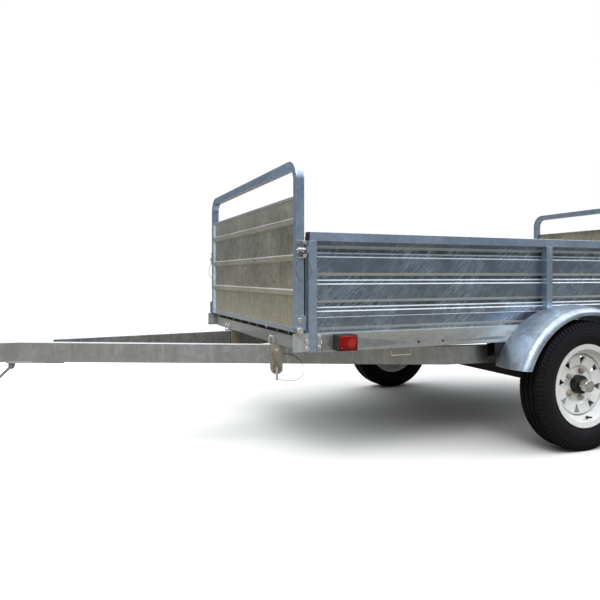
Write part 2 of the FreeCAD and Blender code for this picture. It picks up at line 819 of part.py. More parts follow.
def leaf_spring():
    leaves = [leaf(k + 1, share) for k, share in enumerate(leaf_shares)]
    eyes = []
    holes = []
    for sign in (-1, 1):
        x = axle_x + sign * spring_half
        eyes.append(rod_y(x, spring_y0, spring_y1, spring_eye_height, eye_radius))
        holes.append(rod_y(x, spring_y0 - 1, spring_y1 + 1, spring_eye_height, eye_pin_radius))
    whole = fuse(leaves + eyes)
    for hole in holes:
        whole = whole.cut(hole)
    return whole


def hanger(sign):
    """Box bracket under the side rail, with the bolt through a spring eye."""
    x = axle_x + sign * spring_half
    shift = 12 if sign > 0 else 0
    y0 = spring_y0 - hanger_gauge
    y1 = spring_y1 + hanger_gauge
    x0 = x - hanger_length / 2 + shift
    low = spring_eye_height - eye_pin_radius - 5
    body = box(x0, x0 + hanger_length, y0, y1, low, rail_bottom)
    body = body.cut(box(x0, x0 + hanger_length, spring_y0, spring_y1, low, rail_bottom - hanger_gauge))
    return fuse([body, rod_y(x, y0, y1 + 5, spring_eye_height, eye_pin_radius)])


def clamp():
    """Plate under the axle and the two U-bolts over the spring."""
    x0 = axle_x - clamp_length / 2
    x1 = axle_x + clamp_length / 2
    z_low = tyre_radius - axle_size / 2
    y0 = spring_y0 - 2 * clamp_rod - 1
    y1 = spring_y1 + 2 * clamp_rod + 1
    pieces = [box(x0, x1, y0 - 4, y1 + 4, z_low - clamp_gauge, z_low)]
    z_top = spring_main + clamp_rod
    for sign in (-1, 1):
        x = axle_x + sign * (axle_size / 2 + clamp_rod + 6)
        for y in (spring_y0 - clamp_rod - 1, spring_y1 + clamp_rod + 1):
            pieces.append(rod_z(x, y, z_low - clamp_gauge - 8, z_top + arch_lift(x), clamp_rod))
        pieces.append(rod_y(x, spring_y0 - 2 * clamp_rod - 1, spring_y1 + 2 * clamp_rod + 1,
                            z_top + arch_lift(x), clamp_rod))
    return fuse(pieces)


def arch_lift(x):
    """Rise of the main leaf's top face above its middle."""
    return arch_radius - math.sqrt(arch_radius ** 2 - (x - axle_x) ** 2)


add("axle", axle())
add("leaf_springs", leaf_spring(), to_right(leaf_spring()))
hangers = [hanger(-1), hanger(1)]
add("spring_hangers", *(hangers + [to_right(h) for h in hangers]))
add("spring_clamps", clamp(), to_right(clamp()))


# ---------------------------------------------------------------- wheels
def tyre():
    """Closed ring: flat tread, rounded shoulders and sidewalls, down to the beads inside the rim's flanges."""
    half = tyre_width / 2
    tread = half - tyre_shoulder
    foot = rim_width / 2 - rim_gauge - bead_lean - bead_gap
    lip = foot + bead_lean
    lip_radius = rim_flange_radius + bead_gap
    crown = tyre_radius
    bulge = (crown + bead_radius) / 2
    bead = Vec(0, -foot, bead_radius)
    over = Vec(0, -lip, lip_radius)
    low = Vec(0, -(lip + half) / 2 - 3, (lip_radius + bulge) / 2 - 3)
    widest = Vec(0, -half, bulge)
    high = Vec(0, -half + 4, (crown + bulge) / 2 + 6)
    shoulder = Vec(0, -tread, crown)

    def across(point):
        return Vec(0, -point.y, point.z)

    edges = [Part.makeLine(bead, over), Part.Arc(over, low, widest).toShape(),
             Part.Arc(widest, high, shoulder).toShape(), Part.makeLine(shoulder, across(shoulder)),
             Part.Arc(across(shoulder), across(high), across(widest)).toShape(),
             Part.Arc(across(widest), across(low), across(over)).toShape(),
             Part.makeLine(across(over), across(bead)), Part.makeLine(across(bead), bead)]
    profile = Part.Face(Part.Wire(edges))
    profile.translate(Vec(0, wheel_out, 0))
    return revolve_y(profile, axle_x, tyre_radius)


def rim():
    """Steel wheel: flanged barrel and a dished disc with a ring of triangular windows."""
    y0 = rim_face
    y1 = rim_face + rim_width
    r_seat = bead_radius
    g = rim_gauge
    barrel = face_yr([
        (y0, rim_flange_radius), (y0 + g, rim_flange_radius), (y0 + g + bead_lean, r_seat), (y0 + 28, r_seat),
        (y0 + 36, rim_barrel_radius - 14), (y1 - 36, rim_barrel_radius - 14), (y1 - 28, r_seat),
        (y1 - g - bead_lean, r_seat), (y1 - g, rim_flange_radius), (y1, rim_flange_radius),
        (y1 - 4, r_seat - g), (y1 - 26, r_seat - g), (y1 - 34, rim_barrel_radius - 14 - g),
        (y0 + 34, rim_barrel_radius - 14 - g), (y0 + 26, r_seat - g), (y0 + 4, r_seat - g)])
    d = disc_face
    t = disc_gauge
    rise = disc_rise
    meet = rim_barrel_radius - 14 - g
    disc = face_yr([
        (d, hub_radius), (d + t, hub_radius), (d + t, disc_land), (d + t - rise, disc_step),
        (d + t - rise - 4, disc_shoulder), (d + t + 2, meet), (d - 2, meet),
        (d - rise - 8, disc_shoulder), (d - rise, disc_step), (d, disc_land)])
    wheel = fuse([revolve_y(barrel, axle_x, tyre_radius), revolve_y(disc, axle_x, tyre_radius)])
    for k in range(window_count):
        angle = 360.0 * k / window_count + window_turn
        window = prism_y([(axle_x - window_half, tyre_radius + window_outer),
                          (axle_x + window_half, tyre_radius + window_outer),
                          (axle_x, tyre_radius + window_inner)], d - 40, d + 30)
        window.rotate(Vec(axle_x, 0, tyre_radius), Vec(0, 1, 0), angle)
        wheel = wheel.cut(window)
    return wheel


def hub():
    """Bolt flange behind the disc, barrel through it and a dust cap on the end."""
    d = disc_face + disc_gauge
    flange = rod_y(axle_x, d, d + hub_bolt_flange_gauge, tyre_radius, hub_bolt_flange)
    barrel = rod_y(axle_x, disc_face - hub_nose, d + hub_bolt_flange_gauge, tyre_radius, hub_radius)
    whole = fuse([flange, barrel])
    depth = disc_face - hub_nose + 3
    return whole.cut(rod_y(axle_x, depth, d + 20, tyre_radius, spindle_radius + running_gap))


def dust_cap():
    face = disc_face - hub_nose
    return rod_y(axle_x, face - cap_length, face, tyre_radius, cap_radius)


for where, move in (("left", lambda s: s), ("right", to_right)):
    add("tyre_" + where, move(tyre()))
    add("rim_" + where, move(rim()))
    add("hub_" + where, move(hub()))
    add("dust_cap_" + where, move(dust_cap()))


# ---------------------------------------------------------------- fenders and lamps
def fender():
    """Crowned sheet arch with a rolled outer skirt and a narrow flange on the bed's side."""
    g = fender_gauge
    out = side - fender_width
    edge = fender_radius - fender_inner_drop
    crown_y = side - fender_crown_out
    fall = fender_inner_drop * ((fender_width - fender_roll - fender_crown_out) / fender_crown_out) ** 2
    shoulder = fender_radius - fall
    bulge = math.sqrt(0.5)

    def skin(inset):
        """Points of the sheet's section, set in from its outer skin."""
        roll = fender_roll - inset
        centre = Vec(0, out + fender_roll, shoulder - fender_roll)
        return (Vec(0, side - inset, edge - fender_flange), Vec(0, side - inset, edge - inset),
                Vec(0, crown_y, fender_radius - inset), Vec(0, out + fender_roll, shoulder - inset),
                centre + Vec(0, -roll * bulge, roll * bulge), Vec(0, out + inset, shoulder - fender_roll),
                Vec(0, out + inset, fender_skirt_radius))

    a = skin(0.0)
    b = skin(g)
    edges = [Part.makeLine(a[0], a[1]), Part.Arc(a[1], a[2], a[3]).toShape(),
             Part.Arc(a[3], a[4], a[5]).toShape(), Part.makeLine(a[5], a[6]), Part.makeLine(a[6], b[6]),
             Part.makeLine(b[6], b[5]), Part.Arc(b[5], b[4], b[3]).toShape(),
             Part.Arc(b[3], b[2], b[1]).toShape(), Part.makeLine(b[1], b[0]), Part.makeLine(b[0], a[0])]
    profile = Part.Face(Part.Wire(edges))
    sweep = 80.0
    arch_shape = revolve_y(profile, axle_x, fender_centre_height, 2 * sweep, -sweep)
    low = fender_centre_height - fender_radius
    below = box(axle_x - 2 * fender_radius, axle_x + 2 * fender_radius, out - 5, side + 5,
                low, fender_foot_height)
    return arch_shape.cut(below)


def lamp_box():
    x0 = bed_front + lamp_front
    z1 = rail_top - lamp_top_gap
    return box(x0, x0 + lamp_length, side - lamp_depth, side, z1 - lamp_height, z1)


def lamp_lens():
    x0 = bed_front + lamp_front + lens_rim
    x1 = x0 + lamp_length - 2 * lens_rim
    z1 = rail_top - lamp_top_gap - lens_rim
    z0 = rail_top - lamp_top_gap - lamp_height + lens_rim
    y1 = side - lamp_depth
    return box(x0, x1, y1 - lens_proud, y1, z0, z1)


add("fender_left", fender())
add("fender_right", to_right(fender()))
add("lamp_housings", *corners(lamp_box()))
add("lamp_lenses", *corners(lamp_lens()))


# ---------------------------------------------------------------- lanyards
def line_length(points, bends):
    """Length of the centre line: straight runs, with each corner cut off and replaced by its arc."""
    total = sum((b - a).Length for a, b in zip(points, points[1:]))
    for before, here, after, bend in zip(points, points[1:], points[2:], bends):
        turn = (here - before).getAngle(after - here)
        total += bend * turn - 2 * bend * math.tan(turn / 2)
    return total


def wire(points):
    """Wire along a route; a bend's radius comes from the shorter of its two runs."""
    bends = []
    for before, here, after in zip(points, points[1:], points[2:]):
        run = min((here - before).Length, (after - here).Length)
        turn = (here - before).getAngle(after - here)
        bends.append(0.45 * run / math.tan(turn / 2))
    whole = tube_along(points, wire_radius, bends)
    length = line_length(points, bends)
    print("wire length %.1f, volume over section %.1f, bends" % (length, whole.Volume / (math.pi * wire_radius ** 2)),
          [round(b, 1) for b in bends])
    return whole


lock_route = [beside_beam(Part.Vertex(along, -out, level)).Point for along, out, level in lock_lanyard]
latch_route = [Vec(bed_front + back, side - out, level) for back, out, level in latch_lanyard]
lock_wire = wire(lock_route)
latch_wire = wire(latch_route)
add("lock_lanyard_left", lock_wire)
add("lock_lanyard_right", to_right(lock_wire))
add("latch_lanyard_left", latch_wire)
add("latch_lanyard_right", to_right(latch_wire))

# ---------------------------------------------------------------- write the nodes
for name, shape in nodes.items():
    solids = shape.Solids
    bad = [s for s in solids if not s.isValid() or s.Volume <= 0]
    print(f"{name:20s} solids {len(solids):2d} faces {len(shape.Faces):4d} volume {shape.Volume / 1e3:10.1f} cc"
          + ("  INVALID" if bad else ""))
    shape.exportStep(f"parts/{name}.step")
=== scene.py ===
"""Galvanised tilting trailer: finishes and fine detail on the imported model.

Metres. +Z is up, -X points forward to the hitch, and the left side is -Y.
Each operator makes one piece or one group of like pieces. Left-hand pieces are modelled, then mirrored.
"""

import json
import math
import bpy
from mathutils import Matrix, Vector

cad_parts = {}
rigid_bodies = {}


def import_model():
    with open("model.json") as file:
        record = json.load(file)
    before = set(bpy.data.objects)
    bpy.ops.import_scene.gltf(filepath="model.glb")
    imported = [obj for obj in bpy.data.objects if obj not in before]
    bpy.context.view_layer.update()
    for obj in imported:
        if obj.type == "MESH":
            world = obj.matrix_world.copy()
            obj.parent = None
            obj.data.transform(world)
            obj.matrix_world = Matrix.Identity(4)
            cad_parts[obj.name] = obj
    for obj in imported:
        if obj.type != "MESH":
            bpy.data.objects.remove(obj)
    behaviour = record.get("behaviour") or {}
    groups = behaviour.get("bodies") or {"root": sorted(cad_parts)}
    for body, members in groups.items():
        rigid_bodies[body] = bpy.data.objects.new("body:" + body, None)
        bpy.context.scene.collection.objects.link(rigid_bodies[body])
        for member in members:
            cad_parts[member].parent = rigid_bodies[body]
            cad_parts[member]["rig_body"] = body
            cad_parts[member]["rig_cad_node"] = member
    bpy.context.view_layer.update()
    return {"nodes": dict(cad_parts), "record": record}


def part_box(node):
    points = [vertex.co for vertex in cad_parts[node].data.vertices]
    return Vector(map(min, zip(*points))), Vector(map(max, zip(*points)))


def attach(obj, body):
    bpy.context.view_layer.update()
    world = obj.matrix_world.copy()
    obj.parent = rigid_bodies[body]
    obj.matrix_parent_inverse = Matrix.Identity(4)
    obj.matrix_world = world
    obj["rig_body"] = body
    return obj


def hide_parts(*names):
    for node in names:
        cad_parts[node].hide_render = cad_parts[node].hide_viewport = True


bl_info = {
    "name": "Galvanised Trailer Detail",
    "version": (1, 0, 0),
    "blender": (4, 5, 0),
    "location": "3D View > Sidebar > Trailer",
    "description": "Adds tyres, wheels, fasteners, lanyards and metal finishes to a tilting trailer",
    "category": "Object",
}

import bpy
from bpy.props import FloatProperty, FloatVectorProperty, IntProperty, PointerProperty
from bpy.types import Operator, Panel, PropertyGroup
from mathutils import Matrix, Vector

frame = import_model()
NODES = frame["nodes"]
BODY_OF = {node: body for body, nodes in frame["record"]["behaviour"]["bodies"].items() for node in nodes}

# -------------------- places read from the frame
RAIL_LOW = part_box("side_rail_left")[0]
POST_LOW, POST_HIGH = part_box("posts_left")
TYRE_LOW, TYRE_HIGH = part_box("tyre_left")
RIM_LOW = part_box("rim_left")[0]
LAMP_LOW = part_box("lamp_housings")[0]
LENS_LOW, LENS_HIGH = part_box("lamp_lenses")
BED_FRONT = POST_LOW.x
BED_REAR = POST_HIGH.x
BED_ENDS = ((BED_FRONT, 1), (BED_REAR, -1))     # place, and which way the bed lies from it
BED_MID = (BED_FRONT + BED_REAR) / 2
SIDE = POST_LOW.y
WHEEL_X = (TYRE_LOW.x + TYRE_HIGH.x) / 2
WHEEL_Z = (TYRE_LOW.z + TYRE_HIGH.z) / 2
WHEEL_Y = (TYRE_LOW.y + TYRE_HIGH.y) / 2
OUTWARD_LEFT = (0, -1, 0)
SMOOTH_ANGLE = 35       # degrees; edges sharper than this stay creased
MERGE = 1e-5            # metres; vertices closer than this are one
CAD_MERGE = 2e-6
WASHER_THICK = 0.0012


def fit(back, out, level):
    """Point from millimetres behind the bed's front, outside its left side, and above the ground."""
    return Vector((BED_FRONT + back / 1000, SIDE - out / 1000, level / 1000))


def lighter(base, factor, lift=0.0):
    """A colour multiplied and raised, no brighter than white."""
    return tuple(min(1.0, factor * c + lift) for c in base)


# -------------------- sizes and colours
def size(name, text, default, low=0.0, high=0.2):
    """A length that can be set in the panel."""
    return FloatProperty(name=name, description=text, default=default, min=low, max=high,
                         subtype="DISTANCE", unit="LENGTH")


def colour(name, text, default):
    """A colour that can be set in the panel."""
    return FloatVectorProperty(name=name, description=text, default=default, size=3,
                               min=0.0, max=1.0, subtype="COLOR")


class MetalColours(PropertyGroup):
    """Colours of the galvanised surfaces."""
    sheet: colour("Side sheet", "Colour of the corrugated side sheets", (0.165, 0.205, 0.26))
    tube: colour("Tube", "Colour of posts, top rails and hoops", (0.285, 0.365, 0.475))
    panel: colour("Gate panel", "Colour of the beaded gate panels", (0.40, 0.385, 0.315))
    rail: colour("Rail", "Colour of the side rails and cross members", (0.34, 0.355, 0.36))
    tongue: colour("Tongue", "Colour of the tongue beams", (0.34, 0.35, 0.355))
    deck: colour("Deck", "Colour of the floor deck", (0.50, 0.505, 0.51))
    fender: colour("Fender", "Colour of the fenders", (0.36, 0.43, 0.51))
    zinc: colour("Zinc plate", "Colour of brackets and fasteners", (0.66, 0.66, 0.65))
    rust: colour("Rust", "Colour of light surface rust", (0.16, 0.085, 0.04))


class WheelSizes(PropertyGroup):
    """Sizes and colours of the tyres and wheels."""
    groove: size("Groove depth", "Depth of the tread's grooves", 0.007, 0.001, 0.012)
    comb: size("Shoulder comb", "Depth of the shoulder's cross cuts", 0.0030, 0.0005, 0.006)
    steps: IntProperty(name="Tread steps", description="Cross cuts round the tyre, twice over", default=176,
                       min=48, max=240)
    nut: size("Wheel nut", "Width of a wheel nut across its flats", 0.019, 0.012, 0.025)
    rubber: colour("Rubber", "Colour of the tyre rubber", (0.007, 0.0075, 0.0095))
    paint: colour("Wheel paint", "Colour of the wheel's paint", (0.80, 0.82, 0.82))


class FastenerSizes(PropertyGroup):
    """Size of the bed's bolts."""
    head: size("Bolt head", "Width of a small bolt head across its flats", 0.013, 0.008, 0.02)


# -------------------- modelling helpers
MATERIALS = {}


def clear_selection():
    """Leave edit mode and select nothing."""
    if bpy.context.object and bpy.context.object.mode != "OBJECT":
        bpy.ops.object.mode_set(mode="OBJECT")
    bpy.ops.object.select_all(action="DESELECT")


def make_active(piece):
    """Select one piece alone and make it the active one."""
    clear_selection()
    piece.select_set(True)
    bpy.context.view_layer.objects.active = piece


def apply_place(piece):
    """Put a piece's place, turn and size into its mesh."""
    make_active(piece)
    bpy.ops.object.transform_apply(location=True, rotation=True, scale=True)


def apply_modifier(piece, kind, **settings):
    """Add a modifier and put its result into the mesh."""
    make_active(piece)
    modifier = piece.modifiers.new(kind.title(), kind)
    for key, value in settings.items():
        setattr(modifier, key, value)
    bpy.ops.object.modifier_apply(modifier=modifier.name)


def shade_smooth(piece, angle=SMOOTH_ANGLE):
    """Smooth shading, with creases at edges sharper than an angle in degrees."""
    make_active(piece)
    bpy.ops.object.shade_smooth_by_angle(angle=math.radians(angle))


def soften(piece, width, segments=2, angle=30):
    """Round the edges that are sharper than an angle in degrees."""
    apply_modifier(piece, "BEVEL", width=width, segments=segments, limit_method="ANGLE",
                   angle_limit=math.radians(angle), harden_normals=False)
    shade_smooth(piece)


def edit_whole(piece, *steps):
    """Run mesh operators, given with their settings, on the whole of a piece."""
    make_active(piece)
    bpy.ops.object.mode_set(mode="EDIT")
    bpy.ops.mesh.select_all(action="SELECT")
    for operator, settings in steps:
        operator(**settings)
    bpy.ops.object.mode_set(mode="OBJECT")


def close_normals(piece):
    """Merge doubles and turn every face outwards."""
    edit_whole(piece, (bpy.ops.mesh.remove_doubles, {"threshold": MERGE}),
               (bpy.ops.mesh.normals_make_consistent, {"inside": False}))


def point_along(piece, direction):
    """Turn a piece so that its Z axis lies along a direction."""
    piece.rotation_mode = "QUATERNION"
    piece.rotation_quaternion = Vector(direction).to_track_quat("Z", "Y")


def named(piece, name):
    """Give a piece and its mesh one name."""
    piece.name = name
    piece.data.name = name
    return piece


def block(name, low, high, edge=0.0008, segments=2):
    """Box between two corners with eased edges."""
    clear_selection()
    low, high = Vector(low), Vector(high)
    bpy.ops.mesh.primitive_cube_add(size=1, location=(low + high) / 2)
    piece = named(bpy.context.object, name)
    piece.scale = [abs(b - a) for a, b in zip(low, high)]
    apply_place(piece)
    if edge:
        soften(piece, edge, segments)
    return piece


def round_bar(name, start, end, radius, sides=24, edge=0.0):
    """Round bar between two points."""
    clear_selection()
    start, end = Vector(start), Vector(end)
    along = end - start
    bpy.ops.mesh.primitive_cylinder_add(vertices=sides, radius=radius, depth=along.length,
                                        location=(start + end) / 2)
    piece = named(bpy.context.object, name)
    point_along(piece, along)
    apply_place(piece)
    if edge:
        soften(piece, edge, 2, 40)
    shade_smooth(piece)
    return piece


def ring_outline(name, points):
    """Closed loop of edges through points, from a circle whose vertices are moved."""
    clear_selection()
    bpy.ops.mesh.primitive_circle_add(vertices=len(points), radius=0.01, fill_type="NOTHING")
    piece = named(bpy.context.object, name)
    for vertex, point in zip(piece.data.vertices, points):
        vertex.co = point
    return piece


def extruded(name, points, along, edge=0.0, segments=2):
    """Closed outline filled and pulled along a vector."""
    piece = ring_outline(name, points)
    edit_whole(piece, (bpy.ops.mesh.edge_face_add, {}),
               (bpy.ops.mesh.extrude_region_move, {"TRANSFORM_OT_translate": {"value": along}}))
    close_normals(piece)
    if edge:
        soften(piece, edge, segments)
    return piece


def turned(name, section, centre, steps=96):
    """Closed section of (y, radius) pairs turned about a line along Y."""
    cx, cz = centre
    piece = ring_outline(name, [(cx, y, cz + r) for y, r in section])
    edit_whole(piece, (bpy.ops.mesh.spin, {"steps": steps, "angle": 2 * math.pi, "center": (cx, 0, cz),
                                           "axis": (0, 1, 0)}))
    close_normals(piece)
    shade_smooth(piece, 38)
    return piece


def hex_head(name, base, outward, width, height, washer=0.0):
    """Chamfered hexagon head on a washer, standing on a surface."""
    clear_selection()
    radius = width / math.sqrt(3)
    thin = WASHER_THICK if washer else 0.0
    bpy.ops.mesh.primitive_cylinder_add(vertices=6, radius=radius, depth=height)
    piece = named(bpy.context.object, name)
    piece.location = (0, 0, thin + height / 2)
    apply_place(piece)
    soften(piece, width * 0.06, 2, 20)
    parts = [piece]
    if washer:
        parts.append(round_bar(name + "_washer", (0, 0, 0), (0, 0, thin), washer, 24, 0.0003))
    piece = joined(name, parts)
    point_along(piece, outward)
    piece.location = base
    apply_place(piece)
    return piece


def dome_head(name, base, outward, radius, height):
    """Round head, standing on a surface."""
    clear_selection()
    bpy.ops.mesh.primitive_uv_sphere_add(segments=20, ring_count=10, radius=radius)
    piece = named(bpy.context.object, name)
    edit_whole(piece, (bpy.ops.mesh.bisect, {"plane_co": (0, 0, 0), "plane_no": (0, 0, 1),
                                             "clear_inner": True, "use_fill": True}))
    piece.scale = (1, 1, height / radius)
    apply_place(piece)
    point_along(piece, outward)
    piece.location = base
    apply_place(piece)
    shade_smooth(piece, 40)
    return piece


def joined(name, pieces):
    """One piece made of several."""
    clear_selection()
    for piece in pieces:
        piece.select_set(True)
    bpy.context.view_layer.objects.active = pieces[0]
    if len(pieces) > 1:
        bpy.ops.object.join()
    return named(bpy.context.object, name)


def copy_of(piece, name):
    """A copy with a mesh of its own."""
    make_active(piece)
    bpy.ops.object.duplicate()
    return named(bpy.context.object, name)


def mirrored(piece, name, axis="y"):
    """Mirror copy to the right side, or along X to the bed's other end."""
    other = copy_of(piece, name)
    turn = Matrix.Diagonal((-1, 1, 1, 1)) if axis == "x" else Matrix.Diagonal((1, -1, 1, 1))
    shift = Matrix.Translation((2 * BED_MID, 0, 0)) if axis == "x" else Matrix.Identity(4)
    other.data.transform(shift @ turn)
    other.data.flip_normals()
    return other


def four_corners(piece, name):
    """Copies at all four corners of the bed, joined as one piece."""
    left = [piece, mirrored(piece, name, "x")]
    return joined(name, left + [mirrored(p, name) for p in left])


def cut_away(piece, cutters):
    """Cut several blocks out of a piece."""
    cutter = joined("cutter", cutters)
    apply_modifier(piece, "BOOLEAN", object=cutter, operation="DIFFERENCE", solver="EXACT")
    bpy.data.objects.remove(cutter)


def drop_stored_normals(piece):
    """Let the mesh find its normals again after its shape was changed."""
    if "custom_normal" in piece.data.attributes:
        piece.data.attributes.remove(piece.data.attributes["custom_normal"])


def weigh_normals(piece):
    """Flat faces keep their own direction up to the rounded edges."""
    drop_stored_normals(piece)
    apply_modifier(piece, "WEIGHTED_NORMAL", mode="FACE_AREA", weight=100, keep_sharp=True)


def finish_piece(piece, material, node, stands_for=(), weigh=True):
    """Give a piece its material and tie it to the body of a CAD node."""
    if weigh:
        weigh_normals(piece)
    piece.data.materials.clear()
    piece.data.materials.append(MATERIALS[material])
    for polygon in piece.data.polygons:
        polygon.material_index = 0
    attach(piece, BODY_OF[node])
    if stands_for:
        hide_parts(*stands_for)
    return piece


def finish_pair(first, name, material, nodes, axis="y"):
    """Finish a left or front piece, and its mirror copy on the right or at the rear."""
    second = mirrored(first, name, axis)
    for piece, node in zip((first, second), nodes):
        finish_piece(piece, material, node)


def softened_node(node, material, width, segments):
    """Copy of a CAD node with rounded edges, which stands for it."""
    piece = copy_of(NODES[node], node + "_finish")
    piece.parent = None
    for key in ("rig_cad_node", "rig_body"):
        if key in piece:
            del piece[key]
    edit_whole(piece, (bpy.ops.mesh.remove_doubles, {"threshold": CAD_MERGE}),
               (bpy.ops.mesh.dissolve_limited, {"angle_limit": math.radians(0.5)}))
    drop_stored_normals(piece)
    soften(piece, width, segments)
    return finish_piece(piece, material, node, (node,))


# -------------------- shader groups and materials
class Nodes:
    """Small helper that places and links shader nodes."""

    def __init__(self, tree):
        self.tree = tree

    def add(self, kind, **settings):
        """Add a node and set its properties."""
        node = self.tree.nodes.new(kind)
        for key, value in settings.items():
            setattr(node, key, value)
        return node

    def link(self, a, b):
        """Link an output to an input."""
        self.tree.links.new(a, b)

    def feed(self, socket, value):
        """Give an input a number, a colour or another node's output."""
        if isinstance(value, (int, float)):
            socket.default_value = value
        elif isinstance(value, (tuple, list)):
            socket.default_value = (*value[:3], 1.0)
        else:
            self.link(value, socket)

    def fill(self, node, **values):
        """Feed a node's inputs by name, with a low line for each space."""
        for label, value in values.items():
            self.feed(node.inputs[label.replace("_", " ")], value)

    def math(self, operation, a, b, clamp=False):
        """Result of a sum on two numbers or outputs."""
        node = self.add("ShaderNodeMath", operation=operation, use_clamp=clamp)
        for socket, value in zip(node.inputs, (a, b)):
            self.feed(socket, value)
        return node.outputs[0]

    def mix(self, factor, a, b, blend="MIX"):
        """Colour between two colours or outputs."""
        node = self.add("ShaderNodeMix", data_type="RGBA", blend_type=blend)
        for index, value in ((0, factor), (6, a), (7, b)):
            self.feed(node.inputs[index], value)
        return node.outputs[2]

    def spread(self, value, low, high, to_low=0.0, to_high=1.0):
        """Map a range of an output to another range, and hold it there."""
        node = self.add("ShaderNodeMapRange", clamp=True)
        self.link(value, node.inputs[0])
        for index, number in enumerate((low, high, to_low, to_high), 1):
            node.inputs[index].default_value = number
        return node.outputs[0]

    def noise(self, vector, scale, detail=3.0, rough=0.55, output="Fac"):
        """Clouded noise at a place."""
        node = self.add("ShaderNodeTexNoise")
        self.fill(node, Vector=vector, Scale=scale, Detail=detail, Roughness=rough)
        return node.outputs[output]

    def stretched(self, vector, scale, turn=(0, 0, 0)):
        """Place that is scaled and turned before a texture reads it."""
        node = self.add("ShaderNodeMapping")
        node.inputs["Scale"].default_value = scale
        node.inputs["Rotation"].default_value = turn
        self.link(vector, node.inputs["Vector"])
        return node.outputs[0]

    def bump(self, surface, height, strength, distance):
        """Rough up a surface by a height."""
        node = self.add("ShaderNodeBump")
        self.fill(node, Strength=strength, Distance=distance, Height=height)
        self.link(node.outputs[0], surface.inputs["Normal"])


def new_group(name, numbers, results):
    """Empty shader group that takes a place and numbers, and gives numbers."""
    group = bpy.data.node_groups.new(name, "ShaderNodeTree")
    group.interface.new_socket(name="Vector", in_out="INPUT", socket_type="NodeSocketVector")
    for in_out, labels in (("INPUT", numbers), ("OUTPUT", results)):
        for label in labels:
            group.interface.new_socket(name=label, in_out=in_out, socket_type="NodeSocketFloat")
    n = Nodes(group)
    return group, n, n.add("NodeGroupInput").outputs, n.add("NodeGroupOutput").inputs


def spangle_group():
    """Zinc crystals: a tone for each flake, and broad clouds of duller metal."""
    group, n, given, out = new_group("Zinc Spangle", ("Flake", "Cloud"), ("Tone", "Clouds"))
    shift = n.add("ShaderNodeVectorMath", operation="MULTIPLY_ADD")
    n.link(n.noise(given["Vector"], 18.0, 2.0, 0.5, "Color"), shift.inputs[0])
    shift.inputs[1].default_value = (0.02, 0.02, 0.02)
    n.link(given["Vector"], shift.inputs[2])
    cells = n.add("ShaderNodeTexVoronoi", feature="F1")
    n.fill(cells, Vector=shift.outputs[0], Scale=given["Flake"])
    tone = n.add("ShaderNodeSeparateColor")
    n.link(cells.outputs["Color"], tone.inputs[0])
    n.link(tone.outputs[0], out["Tone"])
    n.link(n.noise(given["Vector"], given["Cloud"], 5.0, 0.62), out["Clouds"])
    return group


RUB_TURNS = ((0.75, 0.9), (0.50, 0.7), (1.05, 0.5), (-0.9, 0.25))     # radians from level, weight


def scuff_group():
    """Slanting rub marks left by stacking and handling."""
    group, n, given, out = new_group("Rub Marks", (), ("Marks",))
    total = 0.0
    for turn, weight in RUB_TURNS:
        slanted = n.add("ShaderNodeVectorRotate", rotation_type="Y_AXIS")
        n.fill(slanted, Vector=given["Vector"], Angle=turn)
        marks = n.noise(n.stretched(slanted.outputs[0], (14.0, 10.0, 190.0)), 1.0)
        total = n.math("ADD", total, n.math("MULTIPLY", n.spread(marks, 0.53, 0.63), weight))
    patches = n.spread(n.noise(given["Vector"], 5.0, 2.0), 0.34, 0.58, 0.15, 1.0)
    n.link(n.math("MULTIPLY", total, patches, True), out["Marks"])
    return group


def rust_group():
    """Patches and specks of rust."""
    group, n, given, out = new_group("Light Rust", ("Amount",), ("Mask", "Grain"))
    patches = n.noise(given["Vector"], 26.0, 6.0, 0.7)
    edge = n.math("SUBTRACT", 0.78, n.math("MULTIPLY", given["Amount"], 0.45))
    n.link(n.math("MULTIPLY", n.math("SUBTRACT", patches, edge), 7.0, True), out["Mask"])
    n.link(n.noise(given["Vector"], 320.0), out["Grain"])
    return group


def edge_wear_group():
    """Bright rubbed edges, from the surface's pointiness."""
    group, n, given, out = new_group("Rubbed Edges", ("Strength",), ("Mask",))
    edges = n.spread(n.add("ShaderNodeNewGeometry").outputs["Pointiness"], 0.505, 0.56)
    n.link(n.math("MULTIPLY", edges, given["Strength"], True), out["Mask"])
    return group


GROUPS = {}


def place(n, maker, **values):
    """Put a shader group, made when it is first asked for, into a material and feed its inputs."""
    if maker not in GROUPS:
        GROUPS[maker] = maker()
    node = n.add("ShaderNodeGroup")
    node.node_tree = GROUPS[maker]
    n.fill(node, **values)
    return node.outputs


def start_material(name):
    """Empty material with its surface and the place that textures follow."""
    material = bpy.data.materials.new(name)
    material.use_nodes = True
    material.node_tree.nodes.clear()
    n = Nodes(material.node_tree)
    surface = n.add("ShaderNodeBsdfPrincipled")
    n.link(surface.outputs[0], n.add("ShaderNodeOutputMaterial").inputs["Surface"])
    MATERIALS[name] = material
    return n, surface, n.add("ShaderNodeTexCoord").outputs["Object"]


# Painted sky highlight: the pale tone painted onto faces that look up, standing in for the bright sky they
# reflect.
PAINTED_SKY_HIGHLIGHT = (0.84, 0.88, 0.92)
# Painted floor reflection: the beige tone painted onto faces that look down, standing in for the floor they
# reflect.
PAINTED_UNDERSIDE_REFLECTION = (0.46, 0.45, 0.385)
# Painted shadow: the near-black tone painted onto the cross members' tops, the shade of the gap under the
# gate panels.
PAINTED_GAP_SHADOW = (0.012, 0.011, 0.010)
# Metallic of faces that carry painted light, low so that the painted colour shows.
PAINTED_FACE_METALLIC = 0.15


